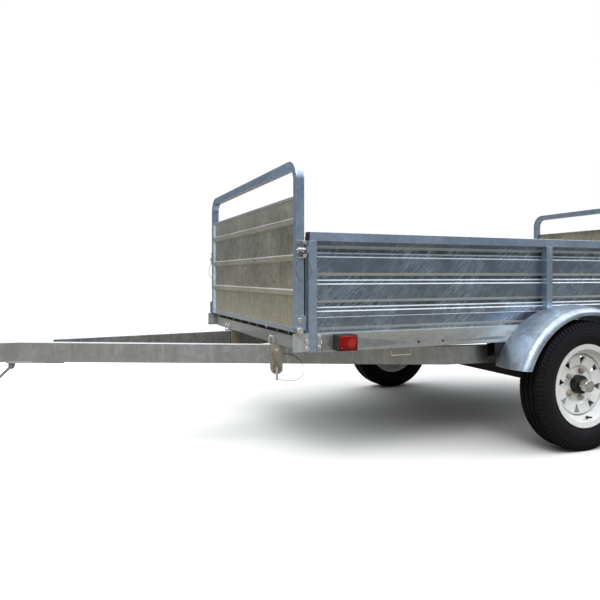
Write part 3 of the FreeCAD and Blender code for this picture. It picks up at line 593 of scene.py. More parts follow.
def galvanised(name, base, metallic, rough, flake, contrast, marks=0.0, marks_turn=(0, 0, 0), rust=0.0,
               wear=0.35, cloud=5.0, streaks=0.0, painted_top_shading=0.0, painted_top_tone=PAINTED_SKY_HIGHLIGHT, painted_underside=0.0):
    """Hot-dip zinc with flakes and clouds.

    Marks are rubs from handling, streaks are runs of rain, and rust and wear grow on old pieces and on
    edges.
    Painted top shading paints the top tone onto faces that look up, a painted sky highlight, and a painted
    shadow where the given top tone is dark; painted underside paints a floor reflection onto faces that
    look down.
    """
    n, surface, where = start_material(name)
    spangle = place(n, spangle_group, Vector=where, Flake=flake, Cloud=cloud)
    depth = 1.1 * contrast
    flakes = n.spread(spangle["Tone"], 0.0, 1.0, 1.0 - contrast, 1.0 + contrast)
    clouds = n.spread(spangle["Clouds"], 0.3, 0.7, 1.0 - depth, 1.0 + depth)
    tone = n.math("MULTIPLY", flakes, clouds)
    grey = n.add("ShaderNodeCombineColor")
    for socket in grey.inputs:
        n.link(tone, socket)
    paint = n.mix(1.0, tuple(base), grey.outputs[0], "MULTIPLY")
    if streaks:
        dull = n.noise(n.stretched(where, (42.0, 42.0, 2.5)), 1.0, 5.0, 0.6)
        paint = n.mix(n.spread(dull, 0.42, 0.70, 0.0, streaks), paint, lighter(base, 0.62))
        bright = n.noise(n.stretched(where, (75.0, 75.0, 5.0)), 1.0, 4.0, 0.6)
        paint = n.mix(n.spread(bright, 0.58, 0.74, 0.0, streaks), paint, lighter(base, 1.5, 0.05))
    if marks:
        blots = n.noise(n.stretched(where, (16.0, 1.0, 26.0)), 1.0, 4.0, 0.65)
        paint = n.mix(n.spread(blots, 0.42, 0.56, 0.0, marks), paint, lighter(base, 0.36))
        scuffs = place(n, scuff_group, Vector=n.stretched(where, (1, 1, 1), marks_turn))
        rubs = n.math("MULTIPLY", scuffs["Marks"], marks, True)
        paint = n.mix(rubs, paint, lighter(base, 2.4, 0.06))
    edges = place(n, edge_wear_group, Strength=wear)
    paint = n.mix(edges["Mask"], paint, lighter(base, 1.9, 0.10))
    roughness = n.spread(spangle["Clouds"], 0.3, 0.7, *rough)
    # Painted light: faces that look up are painted with the top tone, a painted sky highlight, and made
    # less metallic.
    if painted_top_shading:
        facing = n.add("ShaderNodeSeparateXYZ")
        n.link(n.add("ShaderNodeNewGeometry").outputs["Normal"], facing.inputs[0])
        painted_top_mask = n.spread(facing.outputs["Z"], 0.30, 0.60, 0.0, painted_top_shading)
        paint = n.mix(painted_top_mask, paint, painted_top_tone)
        # Painted floor reflection: faces that look down are painted beige and made less metallic.
        shade = n.spread(facing.outputs["Z"], -0.60, -0.30, painted_underside, 0.0)
        paint = n.mix(shade, paint, PAINTED_UNDERSIDE_REFLECTION)
        metallic = n.spread(n.math("MAXIMUM", painted_top_mask, shade), 0.0, 1.0, metallic, PAINTED_FACE_METALLIC)
    if rust:
        old = place(n, rust_group, Vector=where, Amount=rust)
        base_rust = bpy.context.scene.trailer_metal.rust
        brown = n.mix(old["Grain"], tuple(base_rust), lighter(base_rust, 1.7))
        paint = n.mix(old["Mask"], paint, brown)
        roughness = n.math("ADD", roughness, n.math("MULTIPLY", old["Mask"], 0.35), True)
    n.fill(surface, Base_Color=paint, Roughness=roughness, Metallic=metallic)
    n.bump(surface, spangle["Clouds"], 0.12, 0.0015)


def coated(name, base, rough, grain, depth, dust, dust_colour=(0.25, 0.24, 0.22), gloss=0.5):
    """Paint, rubber or moulded plastic with a fine grain and a little dust."""
    n, surface, where = start_material(name)
    fine = n.noise(where, grain, 3.0)
    broad = n.noise(where, 6.0, 4.0)
    paint = n.mix(n.spread(broad, 0.3, 0.7), lighter(base, 0.88), lighter(base, 1.10))
    film = n.spread(n.noise(where, 14.0, 5.0, 0.65), 0.45, 0.75, 0.0, dust)
    paint = n.mix(film, paint, dust_colour)
    grained = n.spread(fine, 0.3, 0.7, max(0.02, rough - 0.06), rough + 0.08)
    n.fill(surface, Base_Color=paint, Roughness=grained, Specular_IOR_Level=gloss)
    n.bump(surface, fine, 0.25, depth)


def make_materials():
    """Every material, by the kind of surface it stands for."""
    metal = bpy.context.scene.trailer_metal
    wheel = bpy.context.scene.trailer_wheel
    # painted_top_shading and painted_underside paint highlights and floor reflections by the way each face
    # looks.
    galvanised("sheet_zinc", metal.sheet, 0.85, (0.20, 0.34), 60.0, 0.20, marks=0.75, painted_top_shading=0.9, painted_underside=0.8)
    galvanised("tube_zinc", metal.tube, 0.85, (0.22, 0.36), 75.0, 0.14, painted_top_shading=0.5)
    galvanised("panel_zinc", metal.panel, 0.85, (0.24, 0.38), 55.0, 0.20, streaks=0.25, painted_top_shading=0.35)
    galvanised("rail_zinc", metal.rail, 0.80, (0.28, 0.42), 65.0, 0.13, painted_top_shading=0.5)
    # Painted shadow: the cross members' up-facing faces are painted near black, like the shaded gap above
    # them.
    galvanised("cross_zinc_painted_shadow", metal.rail, 0.80, (0.28, 0.42), 65.0, 0.13, painted_top_shading=0.96,
               painted_top_tone=PAINTED_GAP_SHADOW)
    # Painted reflection: the pale blue, barely metallic fold stands in for the hoop leg's bluish reflection
    # in the panel.
    galvanised("fold_zinc_painted_reflection", (0.36, 0.48, 0.60), 0.35, (0.30, 0.45), 60.0, 0.35)
    galvanised("tongue_zinc", metal.tongue, 0.80, (0.28, 0.42), 55.0, 0.22, streaks=0.85, painted_top_shading=0.8)
    galvanised("deck_zinc", metal.deck, 0.75, (0.34, 0.50), 60.0, 0.18, marks=0.5,
               marks_turn=(math.pi / 2, 0, 0), rust=0.10)
    galvanised("fender_zinc", metal.fender, 0.85, (0.32, 0.46), 45.0, 0.16, cloud=7.0)
    galvanised("bright_zinc", metal.zinc, 0.90, (0.16, 0.30), 160.0, 0.10)
    galvanised("bracket_zinc", (0.44, 0.47, 0.50), 0.80, (0.24, 0.40), 90.0, 0.20, rust=0.15)
    galvanised("latch_zinc", (0.26, 0.29, 0.33), 0.85, (0.22, 0.38), 120.0, 0.22, rust=0.10)
    galvanised("rusty_zinc", (0.28, 0.25, 0.205), 0.65, (0.36, 0.54), 110.0, 0.24, rust=0.45)
    galvanised("wire_steel", (0.10, 0.09, 0.08), 0.30, (0.40, 0.55), 300.0, 0.15, wear=0.0)
    coated("black_paint", (0.006, 0.006, 0.007), 0.42, 160.0, 0.0002, dust=0.05, gloss=0.3)
    coated("tyre_rubber", wheel.rubber, 0.62, 260.0, 0.0003, dust=0.06,
           dust_colour=(0.03, 0.03, 0.035), gloss=0.16)
    wheel_material(wheel.paint, metal.rust)
    galvanised("rusty_nut", (0.32, 0.29, 0.25), 0.55, (0.38, 0.56), 200.0, 0.20, rust=0.60, wear=0.5)
    coated("black_plastic", (0.012, 0.012, 0.013), 0.38, 220.0, 0.0002, dust=0.12)
    lens_material()
    reflector_material()
    chrome_material()


def wheel_material(paint, rust):
    """Glossy white wheel paint, with rust round the nuts and on the edges."""
    n, surface, where = start_material("wheel_paint")
    from_axis = n.add("ShaderNodeVectorMath", operation="DISTANCE")
    n.link(n.stretched(where, (1.0, 0.0, 1.0)), from_axis.inputs[0])
    from_axis.inputs[1].default_value = (WHEEL_X, 0.0, WHEEL_Z)
    reach = from_axis.outputs["Value"]
    near_nuts = n.math("MULTIPLY", n.spread(reach, 0.036, 0.046), n.spread(reach, 0.080, 0.062))
    specks = n.noise(where, 70.0, 6.0, 0.72)
    broad = n.noise(where, 24.0, 4.0, 0.6)
    stain = n.math("MULTIPLY", n.spread(broad, 0.42, 0.66), n.spread(near_nuts, 0.0, 1.0, 0.22, 1.0))
    edges = n.add("ShaderNodeNewGeometry").outputs["Pointiness"]
    chipped = n.math("MULTIPLY", n.spread(edges, 0.52, 0.60), n.spread(specks, 0.50, 0.62))
    pits = n.math("MULTIPLY", n.spread(specks, 0.62, 0.70), n.spread(broad, 0.45, 0.65))
    mask = n.math("ADD", n.math("MULTIPLY", stain, 0.5), n.math("ADD", chipped, pits), True)
    brown = n.mix(specks, tuple(rust), lighter(rust, 2.4))
    n.fill(surface, Base_Color=n.mix(mask, tuple(paint), brown),
           Roughness=n.spread(mask, 0.0, 1.0, 0.22, 0.62), Coat_Weight=0.25)
    n.bump(surface, specks, 0.2, 0.0004)


def chrome_material():
    """Hazy chrome of the dust caps."""
    n, surface, where = start_material("cap_chrome")
    haze = n.noise(where, 60.0, 5.0, 0.65)
    tone = n.mix(n.spread(haze, 0.4, 0.7), (0.62, 0.63, 0.62), (0.42, 0.39, 0.34))
    n.fill(surface, Base_Color=tone, Roughness=n.spread(haze, 0.3, 0.7, 0.07, 0.20), Metallic=1.0)


def prisms(n, where, scale):
    """Rows of small cells, as moulded into a lens."""
    cells = n.add("ShaderNodeTexVoronoi", feature="F1")
    n.fill(cells, Vector=where, Scale=scale, Randomness=0.0)
    return cells.outputs["Distance"]


def lens_material():
    """Red lens with fine moulded prisms."""
    n, surface, where = start_material("red_lens")
    broad = n.noise(where, 45.0, 3.0)
    tone = n.mix(n.spread(broad, 0.35, 0.65), (0.12, 0.0015, 0.001), (0.25, 0.004, 0.002))
    n.fill(surface, Base_Color=tone, Roughness=n.spread(broad, 0.3, 0.7, 0.16, 0.26),
           Specular_IOR_Level=0.25, IOR=1.49)
    n.bump(surface, prisms(n, where, 260.0), 0.5, 0.0006)


def reflector_material():
    """Lighter red of the lens's round reflector."""
    n, surface, where = start_material("red_reflector")
    cells = prisms(n, where, 420.0)
    tone = n.mix(n.spread(cells, 0.1, 0.6), (0.62, 0.02, 0.012), (0.30, 0.005, 0.003))
    n.fill(surface, Base_Color=tone, Roughness=n.spread(cells, 0.1, 0.6, 0.12, 0.25), Coat_Weight=0.5)


# -------------------- stage, light and camera
CAMERA_PLACE = (-1.3787, -2.5034, 0.7124)
CAMERA_AHEAD = (0.3832, 0.9237)     # level direction of sight
SENSOR, LENS, SHIFT_Y = 36.0, 34.56, -0.0403
LAMPS = (
    # name, place, width, watts
    ("lamp_key", (-3.5, -4.5, 6.5), 3.5, 260.0),
    ("lamp_front", (-6.5, 1.0, 4.5), 3.0, 90.0),
    ("lamp_rear", (5.5, -3.5, 4.5), 3.0, 90.0),
)
LAMP_TARGET = Vector((0, 0, 0.5))
DOME = (
    # place from straight down to overhead, tone
    (0.50, (0.105, 0.113, 0.125, 1)), (0.60, (0.125, 0.140, 0.165, 1)), (0.70, (0.30, 0.32, 0.35, 1)),
    (0.77, (0.70, 0.73, 0.77, 1)), (0.85, (0.97, 0.98, 1.0, 1)),
)
DOME_FOOT = (0.12, 0.11, 0.09, 1)
DOME_LOW_AHEAD = (0.115, 0.105, 0.080)
DOME_LIGHT, DOME_SEEN = 1.9, 1.0    # strength for light and for the camera


class TRAILER_OT_stage(Operator):
    """Build the floor, the studio light and the camera."""
    bl_idname = "trailer.stage"
    bl_label = "Stage and Camera"

    def execute(self, context):
        scene = context.scene
        clear_selection()
        bpy.ops.object.camera_add(location=CAMERA_PLACE)
        camera = named(context.object, "camera_main")
        camera.rotation_euler = (math.pi / 2, 0, -math.atan2(*CAMERA_AHEAD))
        camera.data.sensor_width = SENSOR
        camera.data.lens = LENS
        camera.data.shift_y = SHIFT_Y
        scene.camera = camera
        scene.view_settings.view_transform = "Standard"
        clear_selection()
        bpy.ops.mesh.primitive_plane_add(size=60, location=(0, 0, 0))
        floor = named(context.object, "floor")
        self.floor_material()
        floor.data.materials.append(MATERIALS["stage_floor"])
        self.sky(scene)
        for name, spot, width, power in LAMPS:
            clear_selection()
            bpy.ops.object.light_add(type="AREA", location=spot)
            lamp = named(context.object, name)
            lamp.data.energy = power
            lamp.data.size = width
            lamp.rotation_euler = (LAMP_TARGET - Vector(spot)).to_track_quat("-Z", "Y").to_euler()
        return {"FINISHED"}

    def floor_material(self):
        """Pale floor: white to the camera, a plain grey to the light that it returns."""
        n, surface, _ = start_material("stage_floor")
        seen = n.add("ShaderNodeLightPath").outputs["Is Camera Ray"]
        tone = n.mix(seen, (0.24, 0.225, 0.19), (0.86, 0.86, 0.85))
        n.fill(surface, Base_Color=tone, Roughness=0.9, Specular_IOR_Level=0.1)

    def sky(self, scene):
        """Soft dome, brighter overhead, white where the camera sees it."""
        world = bpy.data.worlds.new("studio")
        scene.world = world
        world.use_nodes = True
        world.node_tree.nodes.clear()
        n = Nodes(world.node_tree)
        where = n.add("ShaderNodeTexCoord")
        split = n.add("ShaderNodeSeparateXYZ")
        n.link(where.outputs["Generated"], split.inputs[0])
        ramp = n.add("ShaderNodeValToRGB")
        stops = ramp.color_ramp.elements
        stops[0].color = DOME_FOOT
        stops[1].color = (1, 1, 1, 1)
        for at, tone in DOME:
            stops.new(at).color = tone
        n.link(n.spread(split.outputs["Z"], -1.0, 1.0), ramp.inputs[0])
        ahead = n.spread(split.outputs["X"], -0.85, -0.35, 1.0, 0.0)
        low = n.math("MULTIPLY", ahead, n.spread(split.outputs["Z"], 0.30, 0.50, 1.0, 0.0))
        dome = n.mix(low, ramp.outputs[0], DOME_LOW_AHEAD)
        seen = n.add("ShaderNodeLightPath").outputs["Is Camera Ray"]
        light = n.add("ShaderNodeBackground")
        n.fill(light, Color=n.mix(seen, dome, (1.0, 1.0, 1.0)),
               Strength=n.spread(seen, 0.0, 1.0, DOME_LIGHT, DOME_SEEN))
        n.link(light.outputs[0], n.add("ShaderNodeOutputWorld").inputs["Surface"])


# -------------------- lanyards
WIRE = 0.002        # thickness
# control points: along the beam from its lock clevis, out from its middle, and level, in millimetres
LOCK_LANYARD = (
    (20, 27, 402), (47, 27, 401), (75, 28, 391), (98, 30, 370), (112, 32, 342),
    (105, 34, 315), (84, 36, 299), (56, 37, 294), (30, 38, 297), (-7, 44, 305))
# control points: behind the bed's front, out from its side, and level, in millimetres
LATCH_LANYARD = (
    (-38, 2, 798), (-47, 9, 772), (-54, 10, 742), (-50, 10, 711), (-31, 10, 689),
    (-7, 10, 692), (6, 10, 718), (4, 10, 749), (-13, 8, 774), (-25, 2, 797))
BEAM_TURN = math.radians(-17.455)       # left tongue beam, turned from X
CLEVIS_X, CLEVIS_Y = -577.0, -321.89    # middle of the left lock clevis, in millimetres


def beside_beam(along, out, level):
    """Point from millimetres along the left tongue beam, out from its middle, and above the ground."""
    c, s = math.cos(BEAM_TURN), math.sin(BEAM_TURN)
    return Vector((CLEVIS_X + along * c + out * s, CLEVIS_Y + along * s - out * c, level)) / 1000


class TRAILER_OT_lanyards(Operator):
    """Thin steel wires that hold the lock pins and latch pins."""
    bl_idname = "trailer.lanyards"
    bl_label = "Wire Lanyards"

    def execute(self, context):
        for node, place_at, route in (("lock_lanyard", beside_beam, LOCK_LANYARD),
                                      ("latch_lanyard", fit, LATCH_LANYARD)):
            for side, sign in (("left", 1), ("right", -1)):
                points = [Vector((p.x, sign * p.y, p.z)) for p in (place_at(*point) for point in route)]
                self.wire(node + "_" + side, points)
        return {"FINISHED"}

    def wire(self, node, points):
        """Round wire along a curve, which stands for the CAD lanyard."""
        clear_selection()
        bpy.ops.curve.primitive_nurbs_path_add(enter_editmode=False, location=(0, 0, 0))
        wire = named(bpy.context.object, node + "_wire")
        wire.data.splines.clear()
        spline = wire.data.splines.new("NURBS")
        spline.points.add(len(points) - 1)
        for target, point in zip(spline.points, points):
            target.co = (*point, 1.0)
        spline.order_u = 3
        spline.use_endpoint_u = True
        wire.data.bevel_depth = WIRE / 2
        wire.data.bevel_resolution = 4
        wire.data.resolution_u = 24
        wire.data.use_fill_caps = True
        wire.data.materials.append(MATERIALS["wire_steel"])
        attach(wire, BODY_OF[node])
        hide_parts(node)


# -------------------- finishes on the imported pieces
SIDES = ("left", "right")
ENDS = ("front", "rear")
FINISHES = (
    # node, which of them, material, rounding in metres, segments
    ("side_sheet", SIDES, "sheet_zinc", 0.0007, 2),
    ("top_rail", SIDES, "tube_zinc", 0.0034, 3),
    ("posts", SIDES, "tube_zinc", 0.0030, 3),
    ("gate_hoop", ENDS, "tube_zinc", 0.0032, 3),
    ("gate_panel", ENDS, "panel_zinc", 0.0007, 2),
    ("side_rail", SIDES, "rail_zinc", 0.0012, 2),
    # the cross members' tops carry a painted shadow
    ("cross_member", ENDS, "cross_zinc_painted_shadow", 0.0014, 2),
    ("floor_deck", (), "deck_zinc", 0.0006, 1),
    ("floor_bearers", (), "rail_zinc", 0.0010, 1),
    ("tongue_beam", SIDES, "tongue_zinc", 0.0022, 3),
    ("tongue_nose", (), "tongue_zinc", 0.0024, 3),
    ("tongue_gusset", (), "tongue_zinc", 0.0012, 2),
    ("coupler", (), "black_paint", 0.0014, 2),
    ("coupler_lever", (), "black_paint", 0.0014, 2),
    ("corner_brackets", (), "bracket_zinc", 0.0010, 2),
    ("rail_flanges", (), "rail_zinc", 0.0010, 2),
    ("gate_feet", ENDS, "tube_zinc", 0.0010, 2),
    ("gate_latches", ENDS, "latch_zinc", 0.0010, 2),
    ("latch_catches", (), "tube_zinc", 0.0010, 2),
    ("lock_clevises", (), "rusty_zinc", 0.0009, 2),
    ("tilt_ears", (), "bracket_zinc", 0.0010, 2),
    ("tilt_pins", (), "bright_zinc", 0.0008, 2),
    # the axle takes black paint so that it shows as dark as it does under the bed
    ("axle", (), "black_paint", 0.0016, 2),
    ("leaf_springs", (), "black_paint", 0.0009, 2),
    ("spring_hangers", (), "black_paint", 0.0009, 2),
    ("spring_clamps", (), "bracket_zinc", 0.0009, 2),
    ("prop_stand", (), "bracket_zinc", 0.0006, 1),
    ("fender", SIDES, "fender_zinc", 0.0008, 2),
    ("lamp_housings", (), "black_plastic", 0.0022, 3),
    ("rail_plugs", (), "black_plastic", 0.0012, 2),
    ("hub", SIDES, "black_paint", 0.0014, 2),
    ("dust_cap", SIDES, "cap_chrome", 0.0035, 4),
    ("rim", SIDES, "wheel_paint", 0.0008, 2),
)
# holes in the end posts: half width, bottom, top
POST_HOLES = ((0.0035, 0.611, 0.626), (0.003, 0.588, 0.594), (0.003, 0.570, 0.576))
POST_HOLE_FROM, POST_HOLE_TO = -0.004, 0.0015   # along X from the post's face
POST_HOLE_IN = 0.016                            # from the bed's side
RAIL_SLOT_FROM, RAIL_SLOT_TO = 0.0490, 0.0518   # along X from the post's face
RAIL_SLOT_LOW, RAIL_SLOT_HIGH = 0.447, 0.498
HOOK_FRONT, HOOK_REAR, HOOK_LOW, HOOK_RADIUS = -0.2250, -0.1405, 0.4100, 0.0033
DECK_RIB_PITCH = 0.127
PANEL_FIELD = 0.008     # from the panel's foremost face back to its flat field


class TRAILER_OT_finishes(Operator):
    """Round the edges of the metal and plastic pieces and give them their materials."""
    bl_idname = "trailer.finishes"
    bl_label = "Metal Finishes"

    def execute(self, context):
        for kind, places, material, width, segments in FINISHES:
            for node in [kind + "_" + end for end in places] or [kind]:
                piece = softened_node(node, material, width, segments)
                sign = -1 if node.endswith("left") else 1
                if kind == "posts":
                    self.post_holes(piece, sign)
                if kind == "side_rail":
                    self.rail_slots(piece, sign)
        self.deck_ends()
        self.rope_hooks()
        self.sheet_ridges()
        self.panel_hems()
        return {"FINISHED"}

    def post_holes(self, piece, sign):
        """Slot and small holes in the end posts, on the faces that look forward and rearward."""
        y = sign * (abs(SIDE) - POST_HOLE_IN)
        cut_away(piece, [
            block("hole", (x + POST_HOLE_FROM * deep, y - half, low),
                  (x + POST_HOLE_TO * deep, y + half, high), 0)
            for x, deep in BED_ENDS for half, low, high in POST_HOLES])

    def rail_slots(self, piece, sign):
        """Upright slot in the side rail's web behind each end bracket."""
        y = sign * abs(SIDE)
        cut_away(piece, [
            block("slot", (x + RAIL_SLOT_FROM * deep, y - 0.010, RAIL_SLOT_LOW),
                  (x + RAIL_SLOT_TO * deep, y + 0.010, RAIL_SLOT_HIGH), 0)
            for x, deep in BED_ENDS])

    def rope_hooks(self):
        """Rod loop under each side rail, ahead of the wheel and behind it, for a rope."""
        y, top, radius = RAIL_LOW.y + 0.0070, RAIL_LOW.z + 0.0010, HOOK_RADIUS
        bars = [round_bar("leg", (x, y, HOOK_LOW), (x, y, top), radius) for x in (HOOK_FRONT, HOOK_REAR)]
        bars.append(round_bar("rod", (HOOK_FRONT - radius, y, HOOK_LOW), (HOOK_REAR + radius, y, HOOK_LOW),
                              radius, 24, 0.0012))
        finish_piece(four_corners(joined("rope_hook", bars), "rope_hooks"), "rusty_zinc", "side_rail_left")

    def deck_ends(self):
        """Bright folded end of each rib under the deck, front and rear."""
        low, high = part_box("floor_deck")
        ribs = [(k + 0.5) * DECK_RIB_PITCH for k in range(-5, 5)]
        tips = [block("tip", (low.x - 0.0012, y - 0.0030, low.z + 0.0006),
                      (low.x + 0.0010, y + 0.0030, high.z - 0.0005), 0.0004, 1)
                for y in ribs if abs(y) < high.y]
        finish_pair(joined("deck_rib_ends_front", tips), "deck_rib_ends_rear", "bright_zinc",
                    ("floor_deck", "floor_deck"), "x")

    def sheet_ridges(self):
        """Low pressed ridge in the lowest field of each side sheet, between the posts."""
        runs = [block("ridge", fit(start, -29, 557), fit(end, -33.5, 561.5), 0.0014, 3)
                for start, end in ((33, 1111), (1145, 2223))]
        finish_pair(joined("sheet_ridges_left", runs), "sheet_ridges_right", "sheet_zinc",
                    ("side_sheet_left", "side_sheet_right"))

    def panel_hems(self):
        """Folded hem along each gate panel's top, a lip along its bottom and a fold beside each leg."""
        low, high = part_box("gate_panel_front")
        field = low.x + PANEL_FIELD
        back = field + 0.001
        hems = [block("hem", (field - 0.0035, low.y, high.z - 0.0115), (back, high.y, high.z), 0.0012, 3),
                block("hem", (field - 0.0020, low.y, low.z), (back, high.y, low.z + 0.0035), 0.0008, 2)]
        lip = block("lip", (field - 0.0014, low.y, low.z), (back, high.y, low.z + 0.017), 0.0005, 2)
        foot = low.z + 0.004
        corner = [(low.x - 0.0005, high.y, foot), (field, high.y, foot), (field, high.y - 0.015, foot)]
        # The fold beside each leg carries a painted reflection of the bluish hoop leg.
        fold = extruded("fold", corner, (0, 0, high.z - low.z - 0.017), 0.0004)
        folds = joined("gate_folds_front", [fold, mirrored(fold, "fold")])
        for name, piece, material in (("gate_hems", joined("gate_hems_front", hems), "rail_zinc"),
                                      ("gate_lip", lip, "tube_zinc"), ("gate_folds", folds, "fold_zinc_painted_reflection")):
            named(piece, name + "_front")
            finish_pair(piece, name + "_rear", material, ("gate_panel_front", "gate_panel_rear"), "x")


# -------------------- tyres
CROWN = 265.0                           # tyre radius in millimetres
GROOVES = (-24.0, 0.0)                  # middles of the left and middle grooves
GROOVE_TOP, GROOVE_FLOOR = 4.6, 3.4     # half widths
WAVE_REACH, WAVE_HALF = 0.250, 0.032    # least radius and half width of the waved part
WAVE_SHIFT, WAVE_STEPS = 0.0026, 8
COMB_FROM, COMB_TO = 0.2415, 0.2642     # radii of the cut shoulder
COMB_OUT = 0.0425                       # from the tyre's middle


class TRAILER_OT_tyres(Operator):
    """Tyres with three waved grooves, cut shoulders and ringed sidewalls."""
    bl_idname = "trailer.tyres"
    bl_label = "Tyres"

    # outer half of the section: across from the middle, radius, both in millimetres
    wall = ((-41.9, 152.0), (-45.9, 170.6), (-49.5, 172.5), (-52.6, 176.0), (-53.2, 178.5), (-52.8, 180.5),
            (-55.0, 184.0), (-57.6, 189.5), (-59.2, 196.0), (-60.1, 201.0), (-60.9, 202.0), (-61.0, 208.5),
            (-61.0, 215.0), (-60.9, 220.0), (-60.2, 221.2), (-59.9, 226.0), (-59.4, 231.0), (-59.4, 232.5),
            (-58.6, 233.5), (-57.9, 238.0), (-57.2, 241.0), (-55.8, 246.5), (-53.6, 252.5), (-50.8, 258.0),
            (-47.2, 262.4), (-44.0, 264.2), (-40.0, CROWN - 0.1))

    def execute(self, context):
        sizes = context.scene.trailer_wheel
        section = [(WHEEL_Y + y / 1000, r / 1000) for y, r in self.section(sizes.groove * 1000)]
        left = turned("tyre_left_tread", section, (WHEEL_X, WHEEL_Z), sizes.steps)
        self.wave(left, sizes)
        self.comb(left, sizes)
        shade_smooth(left, 28)
        right = mirrored(left, "tyre_right_tread")
        for tyre, node in ((left, "tyre_left"), (right, "tyre_right")):
            finish_piece(tyre, "tyre_rubber", node, (node,), weigh=False)
        return {"FINISHED"}

    def section(self, depth):
        """Closed section of the tyre, from its wall and grooves of a depth."""
        half = list(self.wall)
        for middle in GROOVES:
            groove = [(middle - GROOVE_TOP, CROWN), (middle - GROOVE_FLOOR, CROWN - depth),
                      (middle + GROOVE_FLOOR, CROWN - depth), (middle + GROOVE_TOP, CROWN)]
            half += groove if middle else groove[:2]
        return half + [(-y, r) for y, r in reversed(half)]

    def round_the_axle(self, point):
        """Distance of a point from the axle, and its angle round it."""
        x, z = point.x - WHEEL_X, point.z - WHEEL_Z
        return math.hypot(x, z), math.atan2(z, x)

    def wave(self, tyre, sizes):
        """Shift the grooves' walls from side to side round the tyre."""
        for vertex in tyre.data.vertices:
            reach, turn = self.round_the_axle(vertex.co)
            if reach > WAVE_REACH and abs(vertex.co.y - WHEEL_Y) < WAVE_HALF:
                phase = (turn / (2 * math.pi) * sizes.steps % WAVE_STEPS) / WAVE_STEPS
                vertex.co.y += WAVE_SHIFT * (4 * abs(phase - 0.5) - 1)

    def comb(self, tyre, sizes):
        """Press every second strip of the shoulders inwards."""
        make_active(tyre)
        bpy.ops.object.mode_set(mode="EDIT")
        bpy.ops.mesh.select_all(action="DESELECT")
        bpy.ops.mesh.select_mode(type="FACE")
        bpy.ops.object.mode_set(mode="OBJECT")
        step = 2 * math.pi / sizes.steps
        for face in tyre.data.polygons:
            reach, turn = self.round_the_axle(face.center)
            if COMB_FROM < reach < COMB_TO and abs(face.center.y - WHEEL_Y) > COMB_OUT:
                face.select = int(math.floor(turn / step + 0.001)) % 2 == 0
        bpy.ops.object.mode_set(mode="EDIT")
        bpy.ops.mesh.inset(thickness=0.0012, depth=-sizes.comb, use_boundary=True)
        bpy.ops.object.mode_set(mode="OBJECT")


# -------------------- wheel details
NUT_ANGLES = (70, 142, 214, 286, 358)   # degrees
NUT_CIRCLE = 0.0575                     # radius
WHEELS = ("tyre_left", "tyre_right")


class TRAILER_OT_wheel_details(Operator):
    """Wheel nuts, studs and tyre valves."""
    bl_idname = "trailer.wheel_details"
    bl_label = "Wheel Nuts and Valves"

    def execute(self, context):
        width = context.scene.trailer_wheel.nut
        nuts = []
        for turn in map(math.radians, NUT_ANGLES):
            centre = Vector((WHEEL_X + NUT_CIRCLE * math.cos(turn), RIM_LOW.y + 0.052,
                             WHEEL_Z + NUT_CIRCLE * math.sin(turn)))
            nuts += [hex_head("nut", centre, OUTWARD_LEFT, width, 0.013),
                     round_bar("stud", centre, centre + Vector((0, -0.019, 0)), 0.0058, 20, 0.0008),
                     round_bar("seat", centre, centre + Vector((0, -0.003, 0)), 0.0115, 28, 0.0010)]
        finish_pair(joined("wheel_nuts_left", nuts), "wheel_nuts_right", "rusty_nut", WHEELS)
        base = Vector((WHEEL_X + 0.023, RIM_LOW.y + 0.022, WHEEL_Z - 0.1345))
        tip = base + Vector((-0.003, -0.026, 0.006))
        along = (tip - base).normalized()
        valve = [round_bar("stem", base, tip - along * 0.009, 0.0042, 24, 0.0008),
                 round_bar("foot", base - along * 0.002, base + along * 0.005, 0.0066, 24, 0.0014),
                 round_bar("cap", tip - along * 0.010, tip, 0.0034, 20, 0.0010)]
        finish_pair(joined("valve_left", valve), "valve_right", "black_plastic", WHEELS)
        return {"FINISHED"}


# -------------------- lamps
LENS_LENGTH, LENS_EDGE = 0.071, 0.0048
LENS_IN_HOUSING = 0.006
REFLECTOR_BACK, REFLECTOR_RADIUS = 0.047, 0.0165    # from the lens's front end
SCREW_BACK, SCREW_UP = 0.007, 0.009                 # from the lens's corners


class TRAILER_OT_lamps(Operator):
    """Red lamps with a rounded lens, a round reflector and two screws."""
    bl_idname = "trailer.lamps"
    bl_label = "Lamps"

    def execute(self, context):
        low = LENS_LOW
        high = Vector((low.x + LENS_LENGTH, LAMP_LOW.y + LENS_IN_HOUSING, LENS_HIGH.z))
        x, z = low.x + REFLECTOR_BACK, (low.z + high.z) / 2
        lens = block("lens", low, high, LENS_EDGE, 4)
        ring = round_bar("ring", (x, low.y + 0.004, z), (x, low.y - 0.0004, z), REFLECTOR_RADIUS, 40,
                         0.0012)
        corners = ((low.x + SCREW_BACK, low.z + SCREW_UP), (high.x - SCREW_BACK, high.z - SCREW_UP))
        screws = [dome_head("screw", (x, low.y + 0.001, z), OUTWARD_LEFT, 0.0026, 0.0012)
                  for x, z in corners]
        node = "lamp_lenses"
        finish_piece(four_corners(lens, "lamp_lens_detail"), "red_lens", node, (node,))
        finish_piece(four_corners(ring, "lamp_reflectors"), "red_reflector", node)
        finish_piece(four_corners(joined("lamp_screws", screws), "lamp_screws"), "bright_zinc", node)
        return {"FINISHED"}


